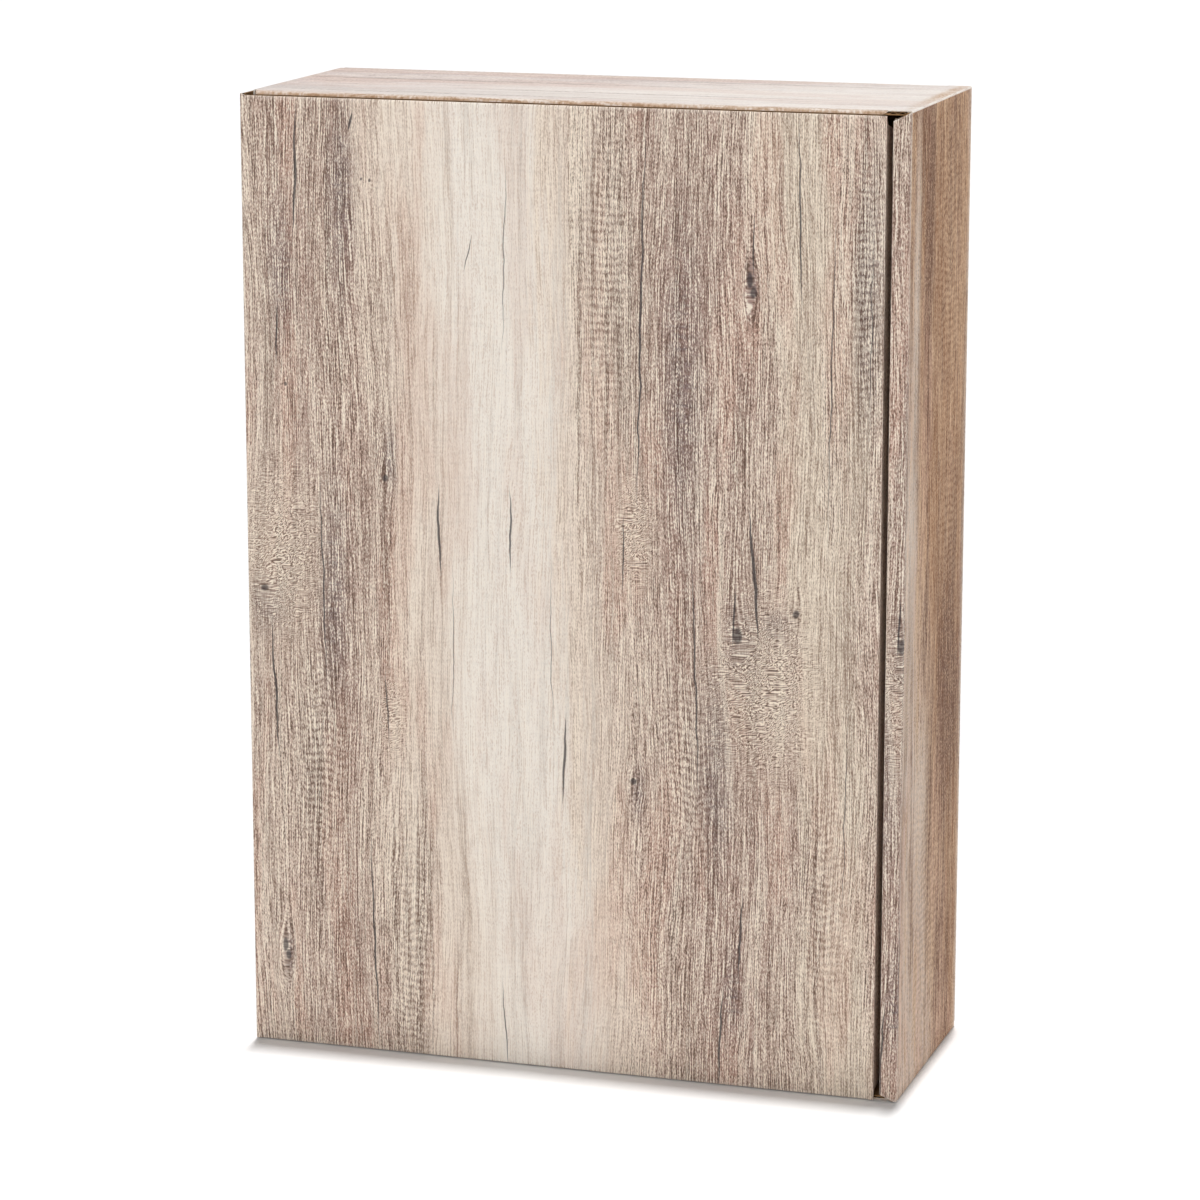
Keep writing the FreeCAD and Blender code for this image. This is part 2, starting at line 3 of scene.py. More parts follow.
import bpy
import numpy as np
from bpy.props import FloatProperty, FloatVectorProperty, IntProperty, PointerProperty
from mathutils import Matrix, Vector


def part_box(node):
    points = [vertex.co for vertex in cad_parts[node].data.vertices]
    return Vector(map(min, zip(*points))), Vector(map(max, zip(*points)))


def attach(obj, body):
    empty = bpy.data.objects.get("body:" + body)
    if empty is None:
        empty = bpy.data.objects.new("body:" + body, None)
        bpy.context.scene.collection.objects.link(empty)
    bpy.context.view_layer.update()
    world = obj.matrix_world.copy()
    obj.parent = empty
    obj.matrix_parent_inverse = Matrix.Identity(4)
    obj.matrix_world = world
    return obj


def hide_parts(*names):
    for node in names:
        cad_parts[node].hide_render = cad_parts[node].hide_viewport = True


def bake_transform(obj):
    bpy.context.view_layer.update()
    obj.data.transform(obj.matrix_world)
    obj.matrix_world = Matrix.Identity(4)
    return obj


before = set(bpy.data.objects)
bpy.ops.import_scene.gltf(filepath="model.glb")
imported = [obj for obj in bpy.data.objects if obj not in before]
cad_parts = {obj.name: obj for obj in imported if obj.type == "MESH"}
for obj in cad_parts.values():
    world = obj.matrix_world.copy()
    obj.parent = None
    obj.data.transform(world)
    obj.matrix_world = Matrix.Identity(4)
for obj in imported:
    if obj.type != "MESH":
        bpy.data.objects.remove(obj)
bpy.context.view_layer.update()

bl_info = {
    "name": "Wine gift box",
    "version": (1, 0, 0),
    "blender": (4, 5, 0),
    "location": "View3D > Sidebar > Wine box",
    "description": "Folds a wine gift box from fluted board with a wood-look print, on its packed model",
    "category": "Object",
}

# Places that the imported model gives, in metres
NODE = {name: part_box(name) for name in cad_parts}
LEFT = NODE["left_wall"][0].x
RIGHT = NODE["right_wall"][1].x
FRONT = NODE["lid_panel"][0].y
BACK = NODE["back_panel"][1].y
TOP = NODE["top_panel"][1].z
BOARD = NODE["back_panel"][1].y - NODE["back_panel"][0].y
WIDTH = RIGHT - LEFT
DEPTH = BACK - FRONT
MM = 1000.0

ACROSS = np.array((1.0, 0.0, 0.0))
INWARD = np.array((0.0, 1.0, 0.0))
UPWARD = np.array((0.0, 0.0, 1.0))

# Which of a grid's two measures the flutes follow each other along
ALONG_LINE = 1
ALONG_WIDTH = 2

# Points to a flute, and columns at a cut end in shares of the crush reach
FLUTE_STEPS = 8
EDGE_COLUMNS = np.array((0.0, 0.1, 0.3, 0.6, 1.0))
# Wear of the print in a fold that stays whole
FIXED_FOLD_WEAR = 0.08
# Edges bent more than this are shaded sharp
SHARP_ANGLE = math.radians(40.0)


def shade(code):
    """Linear colour of a six-digit screen colour code."""
    parts = [int(code[place:place + 2], 16) / 255 for place in (0, 2, 4)]
    return tuple(part / 12.92 if part <= 0.04045 else ((part + 0.055) / 1.055) ** 2.4 for part in parts)


def length(name, description, default):
    """A size that a user may change, in metres."""
    return FloatProperty(
        name=name, description=description, default=default, min=0.0, unit="LENGTH", precision=5
    )


def fraction(name, description, default):
    """A share that a user may change."""
    return FloatProperty(name=name, description=description, default=default, subtype="FACTOR")


def rotation(name, description, degrees):
    """An angle that a user may change."""
    return FloatProperty(name=name, description=description, default=math.radians(degrees), unit="ROTATION")


def strength(name, description, default):
    """A strength of light that a user may change."""
    return FloatProperty(name=name, description=description, default=default)


def colour(name, description, code):
    """A colour that a user may change."""
    return FloatVectorProperty(
        name=name, description=description, default=shade(code), size=3, min=0.0, max=1.0, subtype="COLOR"
    )


class BoardSizes(bpy.types.PropertyGroup):
    """Make-up of the fluted board and its folds."""

    flute_pitch: length("Flute pitch", "Distance from one flute to the next", 0.0033)
    liner: length("Liner", "Thickness of the paper on each side", 0.00026)
    medium: length("Medium", "Thickness of the fluted paper", 0.0002)
    sag: length("Washboard", "Sag of the liner between two flutes", 0.00003)
    fold_radius: length("Fold radius", "Outer radius of the printed liner in a fixed fold", 0.0006)
    core_radius: length("Core radius", "Outer radius of the flutes in a fixed fold", BOARD * 1.25)
    crease_reach: length("Crease reach", "Reach of an opening fold from its outer corner", 0.002)
    crease_radius: length("Crease radius", "Outer radius of an opening fold", 0.0007)
    slot_radius: length("Slot radius", "Outer radius of the fold at the lid's closing edge", 0.0004)
    crease_thickness: length("Crease thickness", "Crushed board in an opening fold", 0.0005)
    crush: length("Edge crush", "Depth that the cutting die rolls the print down at a cut edge", 0.00045)
    crush_reach: length("Crush reach", "Width of the rolled strip at a cut edge", 0.0014)
    top_crush: length("Top edge crush", "Depth of the roll along the top panel's front edge", 0.00145)
    fray: length("Fray", "Width of the white paper along the rim's cut ends", 0.0005)


class FlapSizes(bpy.types.PropertyGroup):
    """Outlines of the flaps, the rim and the lock tabs."""

    tuck_taper: length("Tuck taper", "Inset of a tuck flap's free edge", 0.005)
    tuck_round: length("Tuck corner", "Corner radius of a tuck flap", 0.007)
    dust_round: length("Dust flap corner", "Corner radius of a dust flap", 0.009)
    rim_top_dip: length("Rim top dip", "Fall of the rim's upper end up to its bend", 0.0009)
    rim_top_fall: length("Rim top fall", "Fall of the rim's upper end at the slot", 0.0031)
    rim_top_bend: fraction("Rim top bend", "Place of the bend across the rim", 0.6)
    rim_foot_rise: length("Rim foot rise", "Rise of the rim's lower end towards the slot", 0.0024)
    rim_foot_flat: length("Rim foot flat", "Level stretch of the rim's lower end", 0.0018)
    corner_cut: length("Corner cut", "Front corner of top and bottom behind the rim", 0.0005)
    lock_tab: length("Lock tab", "Lock tab along the height", 0.036)
    lock_gap: length("Lock gap", "Clearance round a lock tab", 0.0002)
    lock_spread: fraction("Lock spread", "Share of the wall's height between outer tabs", 0.62)
    lock_tabs: IntProperty(name="Lock tabs", description="Tabs in the row", default=3, min=1)


class InsertSizes(bpy.types.PropertyGroup):
    """Outlines of the dividers and the neck support."""

    notch_width: length("Notch width", "Width of a neck notch", 0.034)
    notch_round: length("Notch corner", "Corner radius at the end of a notch", 0.014)
    notch_end: length("Notch end", "Board left behind a notch", 0.0208)
    slit_gap: length("Slit gap", "Clearance on each side in a halving slit", 0.00015)
    corner: length("Corner", "Corner radius of the insert's boards", 0.006)


class PrintColours(bpy.types.PropertyGroup):
    """Inks of the wood-look print and the papers under it."""

    pale: colour("Pale", "Palest band", "ece4da")
    cream: colour("Cream", "Cream band", "e2d3c5")
    beige: colour("Beige", "Beige band", "d6c2b3")
    straw: colour("Straw", "Yellowish band", "d6c5b3")
    brown: colour("Brown", "Grey brown band", "c2a99b")
    mauve: colour("Mauve", "Darkest band", "b2978b")
    rose: colour("Rose", "Pink wash", "cca593")
    chalk: colour("Chalk", "Whitest band of the top", "ebe4df")
    # Blush, where the bands climb to it, makes the top darker towards its left end
    blush: colour("Blush", "Pink band of the top", "d9cdca")
    ash: colour("Ash", "Pale grey brown on the side", "dac9bc")
    sand: colour("Sand", "Light threads on the side", "d4b493")
    tan: colour("Tan", "Light warm brown on the side", "b98f6b")
    rust: colour("Rust", "Warm brown on the side", "a87850")
    umber: colour("Umber", "Dark warm brown on the side", "906037")
    bark: colour("Bark", "Darkest streaks on the side", "623a22")
    fibre: colour("Fibre", "Fine light threads", "f6ead8")
    pore: colour("Pore", "Fine dark threads", "4d3c35")
    vein: colour("Vein", "Long brown lines", "735b50")
    shadow: colour("Shadow", "Smudges round knots", "6f6062")
    ink: colour("Ink", "Cracks and knots", "3b373a")
    paper: colour("Paper", "White paper on cut edges and folds", "eee8df")
    kraft: colour("Kraft", "Brown paper inside", "b58d62")
    kraft_dark: colour("Kraft fibre", "Dark fibres in the brown paper", "84603d")


class StageSizes(bpy.types.PropertyGroup):
    """Camera and light."""

    camera_place: FloatVectorProperty(
        name="Camera", description="Place of the camera", default=(0.470, -1.4915, 0.514), unit="LENGTH"
    )
    camera_tilt: rotation("Tilt", "Camera below the level", 12.44)
    camera_turn: rotation("Turn", "Camera turned to the left", 17.59)
    lens: FloatProperty(name="Lens", description="Focal length on a 36 mm frame, in mm", default=128.5)
    key_light: strength("Key light", "Strength of the front light", 1.54)
    side_light: strength("Side light", "Strength of the light from the right", 1.05)
    top_light: strength("Top light", "Strength of the overhead light", 2.45)
    room_light: strength("Room light", "Strength of the light all round", 0.22)
    floor_lift: strength("Floor lift", "Light that the camera sees on the floor", 0.05)


class BoxSettings(bpy.types.PropertyGroup):
    """All settings of the wine gift box."""

    board: PointerProperty(type=BoardSizes)
    flaps: PointerProperty(type=FlapSizes)
    insert: PointerProperty(type=InsertSizes)
    colours: PointerProperty(type=PrintColours)
    stage: PointerProperty(type=StageSizes)


def settings():
    """Settings kept in the scene."""
    return bpy.context.scene.wine_box


# Sheets
class FoldedLine:
    """Printed face of a sheet, seen along its width: straight runs joined by arcs of one radius.

    At a distance s along the line, the place on the printed face follows the runs and arcs, and the face
    points along the line's direction crossed with the width direction.
    """

    ARC_STEPS = 8

    def __init__(self, corners, width, radius=0.0):
        corners = np.array(corners, float)
        self.width = width
        runs = np.diff(corners, axis=0)
        ways = runs / np.linalg.norm(runs, axis=1, keepdims=True)
        places = [corners[:1]]
        headings = [ways[:1]]
        bends = [np.zeros(1)]
        for corner, way, after in zip(corners[1:-1], ways[:-1], ways[1:]):
            turn = math.acos(float(np.clip(way @ after, -1, 1)))
            inner = after - way * (way @ after)
            inner = inner / np.linalg.norm(inner)
            entry = corner - way * radius * math.tan(turn / 2)
            angle = np.linspace(0, turn, self.ARC_STEPS + 1)[:, None]
            centre = entry + inner * radius
            places.append(centre - radius * inner * np.cos(angle) + radius * way * np.sin(angle))
            headings.append(way * np.cos(angle) + inner * np.sin(angle))
            bends.append(np.sin(np.pi * angle[:, 0] / turn))
        places.append(corners[-1:])
        headings.append(ways[-1:])
        bends.append(np.zeros(1))
        self.place = np.concatenate(places)
        self.facing = np.cross(np.concatenate(headings), width)
        self.bend = np.concatenate(bends)
        steps = np.linalg.norm(np.diff(self.place, axis=0), axis=1)
        self.distance = np.concatenate(([0.0], np.cumsum(steps)))
        self.length = self.distance[-1]

    def at(self, s):
        """Place, outward direction and bend at distances s, an array of any shape."""
        place = np.stack([np.interp(s, self.distance, column) for column in self.place.T], -1)
        facing = np.stack([np.interp(s, self.distance, column) for column in self.facing.T], -1)
        facing = facing / np.linalg.norm(facing, axis=-1, keepdims=True)
        return place, facing, np.interp(s, self.distance, self.bend)


def flute_rows(low, high, jumps=()):
    """Values from low to high, several to a flute, with a close pair at each jump in an outline."""
    count = int(math.ceil((high - low) / settings().board.flute_pitch * FLUTE_STEPS)) + 1
    hair = 1e-6
    extra = [jump + side for jump in jumps for side in (-hair, hair)]
    return np.unique(np.concatenate((np.linspace(low, high, count), extra)))


def grid_across(line, rows, start=0.0, end=None):
    """Grid of s and w for flutes that run along the line, with the distance to the cut ends.

    rows are values of w. s goes from start to end, which are numbers or arrays over the rows.
    """
    columns = 3
    end = line.length if end is None else end
    share = np.linspace(0, 1, columns)[:, None]
    start = np.broadcast_to(start, rows.shape)
    end = np.broadcast_to(end, rows.shape)
    w = np.broadcast_to(rows, (columns, len(rows)))
    return start + share * (end - start), w, np.minimum(w - rows[0], rows[-1] - w)


def grid_stations(line, low, high):
    """Grid of s and w on the line's own points, with the distance to the cut ends.

    w goes from low to high, which are numbers or arrays over those points.
    """
    low = np.broadcast_to(low, line.distance.shape)[:, None]
    high = np.broadcast_to(high, line.distance.shape)[:, None]
    rows = flute_rows(low.min(), high.max())
    share = (rows - rows[0]) / (rows[-1] - rows[0])
    w = low + share * (high - low)
    return np.broadcast_to(line.distance[:, None], w.shape), w, np.minimum(w - low, high - w)


def grid_along(rows, low, high):
    """Grid of s and w for flutes that run along the width, with the distance to the cut ends.

    rows are values of s. w goes from low to high, which are numbers or arrays over the rows, with close
    columns at both ends.
    """
    steps = EDGE_COLUMNS * settings().board.crush_reach
    low = np.broadcast_to(low, rows.shape)[:, None]
    high = np.broadcast_to(high, rows.shape)[:, None]
    w = np.concatenate((low + steps, high - steps[::-1]), axis=1)
    return np.broadcast_to(rows[:, None], w.shape), w, np.minimum(w - low, high - w)


def grid_faces(number):
    """Faces between the points of a grid of point numbers."""
    corners = (number[:-1, :-1], number[1:, :-1], number[1:, 1:], number[:-1, 1:])
    return np.stack(corners, -1).reshape(-1, 4)


def sheet_layer(line, s, w, outer, inner, print_place, wear):
    """Closed layer of a sheet between two depths under the printed face.

    A point is the line's place at s, plus w along the width, less its depth along the outward direction.
    Faces are kind 0 outside, 1 on the cut edges and 2 inside.
    """
    place, facing = line.at(s)[:2]
    place = place + w[..., None] * line.width
    points = [place - np.broadcast_to(depth, s.shape)[..., None] * facing for depth in (outer, inner)]
    number = np.arange(s.size).reshape(s.shape)
    under = number + s.size
    outside = grid_faces(number)
    inside = outside[:, ::-1] + s.size
    rims = [
        (number[0], under[0]), (under[-1], number[-1]),
        (under[:, 0], number[:, 0]), (number[:, -1], under[:, -1]),
    ]
    edges = np.concatenate([grid_faces(np.stack(rim, 1)) for rim in rims])
    faces = np.concatenate((outside, edges, inside))
    kinds = np.repeat((0, 1, 2), (len(outside), len(edges), len(inside)))
    u, v = print_place(s, w)
    sheet = np.stack((u * MM, v * MM, wear), -1).reshape(-1, 3)
    points = np.concatenate([part.reshape(-1, 3) for part in points])
    return points, faces, kinds, np.concatenate((sheet, sheet))


def sheet_object(name, layers, materials):
    """Object made of closed layers, with one material for each kind of face."""
    points, faces, kinds, sheets = [list(part) for part in zip(*layers)]
    starts = np.cumsum([0] + [len(part) for part in points[:-1]])
    faces = np.concatenate([part + start for part, start in zip(faces, starts)])
    points = np.concatenate(points)
    mesh = bpy.data.meshes.new(name)
    mesh.vertices.add(len(points))
    mesh.vertices.foreach_set("co", points.astype(np.float32).ravel())
    mesh.loops.add(faces.size)
    mesh.loops.foreach_set("vertex_index", faces.astype(np.int32).ravel())
    mesh.polygons.add(len(faces))
    mesh.polygons.foreach_set("loop_start", np.arange(0, faces.size, 4, dtype=np.int32))
    for material in materials:
        mesh.materials.append(material)
    kinds = np.minimum(np.concatenate(kinds), len(materials) - 1)
    mesh.polygons.foreach_set("material_index", kinds.astype(np.int32))
    mesh.update(calc_edges=True)
    attribute = mesh.attributes.new("sheet", "FLOAT_VECTOR", "POINT")
    attribute.data.foreach_set("vector", np.concatenate(sheets).astype(np.float32).ravel())
    mesh.shade_smooth()
    mesh.set_sharp_from_angle(angle=SHARP_ANGLE)
    if mesh.validate():
        raise RuntimeError(f"{name} has faulty faces")
    piece = bpy.data.objects.new(name, mesh)
    bpy.context.scene.collection.objects.link(piece)
    return piece


def board_layers(line, s, w, edge, wave, print_place, crush, fray=0.0):
    """Printed liner, fluted medium and inner liner of a board.

    The medium swings between the liners as a cosine of the distance across the flutes, and each liner sags
    a little where the medium leaves it. Towards a cut edge the board is pressed flat from the printed side,
    along a quarter of an ellipse. Wear is above 0 in folds and on frayed cuts, and below 0 on pressed strips.
    """
    sizes = settings().board
    swing = np.cos(2 * np.pi * wave / sizes.flute_pitch)
    front_sag = sizes.sag * (1 - swing) / 2
    back_sag = sizes.sag * (1 + swing) / 2
    reach = (BOARD - 2 * sizes.liner - sizes.medium) / 2
    middle = BOARD / 2 - reach * swing
    depths = [
        (front_sag, front_sag + sizes.liner),
        (middle - sizes.medium / 2, middle + sizes.medium / 2),
        (BOARD - sizes.liner - back_sag, BOARD - back_sag),
    ]
    crush = np.asarray(crush(s) if callable(crush) else crush)
    nearness = np.clip(1 - edge / sizes.crush_reach, 0, 1)
    pressed = crush * (1 - np.sqrt(1 - nearness ** 2))
    wear = line.at(s)[2] * FIXED_FOLD_WEAR - nearness * (crush > 0)
    if fray:
        wear = wear + np.clip(1 - edge / fray, 0, 1)
    layers = []
    for pair in depths:
        outer, inner = [pressed + depth * (1 - pressed / BOARD) for depth in pair]
        layers.append(sheet_layer(line, s, w, outer, inner, print_place, wear))
    return layers


def put(piece, node, body):
    """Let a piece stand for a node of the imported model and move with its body."""
    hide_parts(node)
    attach(piece, body)


def printed_board(node, body, lay, wave, print_place, ink, crush=None, fray=0.0):
    """A board with a printed liner over brown flutes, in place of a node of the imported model.

    lay gives the line and the grid for an outer fold radius. wave is ALONG_LINE or ALONG_WIDTH. crush is a
    depth, or gives it at s. fray is the width of the white paper along the cut ends.
    """
    sizes = settings().board
    crush = sizes.crush if crush is None else crush
    faces = []
    cores = []
    for radius, kept in ((sizes.fold_radius, faces), (sizes.core_radius, cores)):
        for laid in lay(radius):
            kept.append(board_layers(*laid, laid[wave], print_place, crush, fray))
    face = sheet_object(f"{node}_face", [layers[0] for layers in faces], [ink, paper_edge()])
    core = sheet_object(f"{node}_flutes", [part for layers in cores for part in layers[1:]], [kraft_paper()])
    put(face, node, body)
    put(core, node, body)


def kraft_board(node, body, laid, wave, print_place):
    """A plain brown board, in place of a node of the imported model."""
    layers = board_layers(*laid, laid[wave], print_place, settings().board.crush)
    put(sheet_object(f"{node}_board", layers, [kraft_paper()]), node, body)


def rounded_inset(distance, depth, taper, radius):
    """Inset of a flap's end at a distance from its fold: a slant, then a quarter round at the free edge."""
    past = np.clip(distance - (depth - radius), 0, radius)
    return taper * distance / depth + radius - np.sqrt(radius ** 2 - past ** 2)


def along_wall(start):
    """Print that runs up the wall, with its across position counted from a start."""
    return lambda s, w: (start + s, w)


def along_line(start, way):
    """Print that runs along the line, counted from a start in one way, on boards across the box."""
    return lambda s, w: (w - FRONT, start + way * s)


# Shader helpers
FLOAT = "NodeSocketFloat"
VECTOR = "NodeSocketVector"
# Turn of every noise on the sheet, in radians
NOISE_TURN = 0.55


def add_node(tree, kind, inputs=(), **traits):
    """New node with its traits set and its inputs linked or filled in."""
    node = tree.nodes.new(kind)
    for trait, value in traits.items():
        setattr(node, trait, value)
    for key, value in dict(inputs).items():
        if isinstance(value, bpy.types.NodeSocket):
            tree.links.new(value, node.inputs[key])
        else:
            node.inputs[key].default_value = value
    return node


def calc(tree, operation, *values, clamp=False):
    """Result of a Math node."""
    node = add_node(tree, "ShaderNodeMath", enumerate(values), operation=operation, use_clamp=clamp)
    return node.outputs[0]


def vector_calc(tree, operation, *values):
    """Result of a Vector Math node."""
    node = add_node(tree, "ShaderNodeVectorMath", enumerate(values), operation=operation)
    return node.outputs["Value"] if operation == "LENGTH" else node.outputs[0]


def ease(tree, value, low, high):
    """Smooth step of a value from 0 at low to 1 at high."""
    inputs = {"Value": value, "From Min": low, "From Max": high}
    return add_node(tree, "ShaderNodeMapRange", inputs, interpolation_type="SMOOTHSTEP").outputs[0]


def mix(tree, factor, first, second):
    """Blend of two colours."""
    return add_node(tree, "ShaderNodeMix", {0: factor, 6: first, 7: second}, data_type="RGBA").outputs[2]


def noise(tree, sheet, across, along, detail=1.0, roughness=0.5):
    """Noise on the sheet with its own pitch across and along the grain, in millimetres.

    It is turned after scaling, so that its rows don't line up across the sheet.
    """
    inputs = {"Vector": sheet, "Scale": (1 / across, 1 / along, 0.0), "Rotation": (0.0, 0.0, NOISE_TURN)}
    scaled = add_node(tree, "ShaderNodeMapping", inputs).outputs[0]
    inputs = {"Vector": scaled, "Scale": 1.0, "Detail": detail, "Roughness": roughness}
    return add_node(tree, "ShaderNodeTexNoise", inputs, noise_dimensions="2D").outputs["Fac"]


def new_group(name, inputs, outputs):
    """Shader node group with named sockets; returns the tree, its input sockets and its output node."""
    tree = bpy.data.node_groups.new(name, "ShaderNodeTree")
    for title, kind in inputs.items():
        tree.interface.new_socket(name=title, in_out="INPUT", socket_type=kind)
    for title, kind in outputs.items():
        tree.interface.new_socket(name=title, in_out="OUTPUT", socket_type=kind)
    source = tree.nodes.new("NodeGroupInput").outputs
    return tree, source, tree.nodes.new("NodeGroupOutput").inputs


def use_group(tree, name, **inputs):
    """Outputs of a group placed in a tree."""
    return add_node(tree, "ShaderNodeGroup", inputs, node_tree=bpy.data.node_groups[name]).outputs


def once(make):
    """Build a group or material the first time that it is asked for."""
    kept = {}

    def get(*key):
        if key not in kept:
            kept[key] = make(*key)
        return kept[key]

    return get


def across_only(tree, value):
    """Vector with a value across the sheet and nothing along it."""
    return add_node(tree, "ShaderNodeCombineXYZ", {"X": value}).outputs[0]


@once
def spot_group():
    """Spot: 1 at a centre on the sheet, falling smoothly to 0 at its reach, and the distance across."""
    tree, source, result = new_group(
        "Spot", {"Sheet": VECTOR, "Centre": VECTOR, "Reach": VECTOR}, {"Mask": FLOAT, "Across": FLOAT}
    )
    offset = vector_calc(tree, "SUBTRACT", source["Sheet"], source["Centre"])
    flat = vector_calc(tree, "MULTIPLY", offset, (1.0, 1.0, 0.0))
    distance = vector_calc(tree, "LENGTH", vector_calc(tree, "DIVIDE", flat, source["Reach"]))
    tree.links.new(ease(tree, distance, 1.0, 0.0), result["Mask"])
    tree.links.new(add_node(tree, "ShaderNodeSeparateXYZ", {0: offset}).outputs["X"], result["Across"])
    return tree


@once
def crack_group():
    """Crack: a line along the grain that leans from foot to head and is widest in the middle.

    With t from -1 at the foot to 1 at the head, its middle lies at across + lean t and its half width is
    width (1 - t t).
    """
    tree, source, result = new_group(
        "Crack",
        {"Sheet": VECTOR, "Across": FLOAT, "Middle": FLOAT, "Half": FLOAT, "Lean": FLOAT, "Width": FLOAT},
        {"Mask": FLOAT},
    )
    parts = add_node(tree, "ShaderNodeSeparateXYZ", {0: source["Sheet"]}).outputs
    t = calc(tree, "DIVIDE", calc(tree, "SUBTRACT", parts["Y"], source["Middle"]), source["Half"])
    line = calc(tree, "MULTIPLY_ADD", t, source["Lean"], source["Across"])
    off = calc(tree, "ABSOLUTE", calc(tree, "SUBTRACT", parts["X"], line))
    taper = calc(tree, "SUBTRACT", 1.0, calc(tree, "MULTIPLY", t, t))
    inside = calc(tree, "SUBTRACT", calc(tree, "MULTIPLY", taper, source["Width"]), off)
    tree.links.new(calc(tree, "MULTIPLY", inside, 4.0, clamp=True), result["Mask"])
    return tree


@once
def grain_group():
    """Wood grain: masks for threads, lines and rungs, and slow noises for streaks, ripple, hue and clouds.

    Threads are long, middling and short noises added up: dark below the middle, light above. Where Curl is 1,
    slanting wavy ripples take their place. Lines are level lines of a slow noise. Rungs are a sine along the
    grain whose phase wanders, so that they stand in short ladders. Width above 1 widens it all.
    """
    tree, source, result = new_group(
        "Wood grain",
        {"Sheet": VECTOR, "Width": FLOAT, "Curl": FLOAT},
        {title: FLOAT for title in ("Dark", "Light", "Streaks", "Lines", "Rungs", "Ripple", "Hue", "Clouds")},
    )
    sheet = source["Sheet"]
    sway = calc(tree, "MULTIPLY_ADD", noise(tree, sheet, 45.0, 170.0), 10.0, -5.0)
    jag = calc(tree, "MULTIPLY_ADD", noise(tree, sheet, 6.0, 30.0, 2.0), 1.6, -0.8)
    flow = vector_calc(tree, "ADD", sheet, across_only(tree, calc(tree, "ADD", sway, jag)))
    narrow = add_node(tree, "ShaderNodeCombineXYZ", {"X": source["Width"], "Y": 1.0, "Z": 1.0}).outputs[0]
    flow = vector_calc(tree, "DIVIDE", flow, narrow)
    fine = 0.0
    for thread_length, part in ((60.0, 0.34), (8.0, 0.33), (1.1, 0.33)):
        fine = calc(tree, "MULTIPLY_ADD", noise(tree, flow, 0.40, thread_length), part, fine)
    warp = calc(tree, "MULTIPLY_ADD", noise(tree, sheet, 11.0, 9.0, 2.0), 14.0, -7.0)
    bent = vector_calc(tree, "ADD", sheet, across_only(tree, warp))
    slant = {"Vector": bent, "Angle": math.radians(-32)}
    slant = add_node(tree, "ShaderNodeVectorRotate", slant, rotation_type="Z_AXIS").outputs[0]
    curl = calc(tree, "MULTIPLY_ADD", noise(tree, slant, 1.2, 0.38), 0.75, 0.125)
    curl = calc(tree, "SUBTRACT", curl, fine)
    fine = calc(tree, "MULTIPLY_ADD", curl, source["Curl"], fine)
    tree.links.new(ease(tree, fine, 0.50, 0.38), result["Dark"])
    tree.links.new(ease(tree, fine, 0.50, 0.62), result["Light"])
    tree.links.new(noise(tree, flow, 6.0, 210.0, 4.0, 0.8), result["Streaks"])
    level = calc(tree, "MULTIPLY", noise(tree, flow, 7.0, 190.0, 2.0), 14.0)
    ridge = calc(tree, "ABSOLUTE", calc(tree, "SUBTRACT", calc(tree, "FRACT", level), 0.5))
    tree.links.new(ease(tree, ridge, 0.16, 0.02), result["Lines"])
    along = add_node(tree, "ShaderNodeSeparateXYZ", {0: sheet}).outputs["Y"]
    wander = calc(tree, "MULTIPLY", noise(tree, sheet, 9.0, 55.0, 2.0), 16.0)
    phase = calc(tree, "MULTIPLY_ADD", along, 2.1, wander)
    tree.links.new(calc(tree, "MULTIPLY_ADD", calc(tree, "SINE", phase), 0.5, 0.5), result["Rungs"])
    tree.links.new(noise(tree, sheet, 9.0, 1.6, 2.0), result["Ripple"])
    tree.links.new(noise(tree, flow, 15.0, 110.0, 2.0), result["Hue"])
    tree.links.new(noise(tree, sheet, 24.0, 90.0, 3.0), result["Clouds"])
    return tree


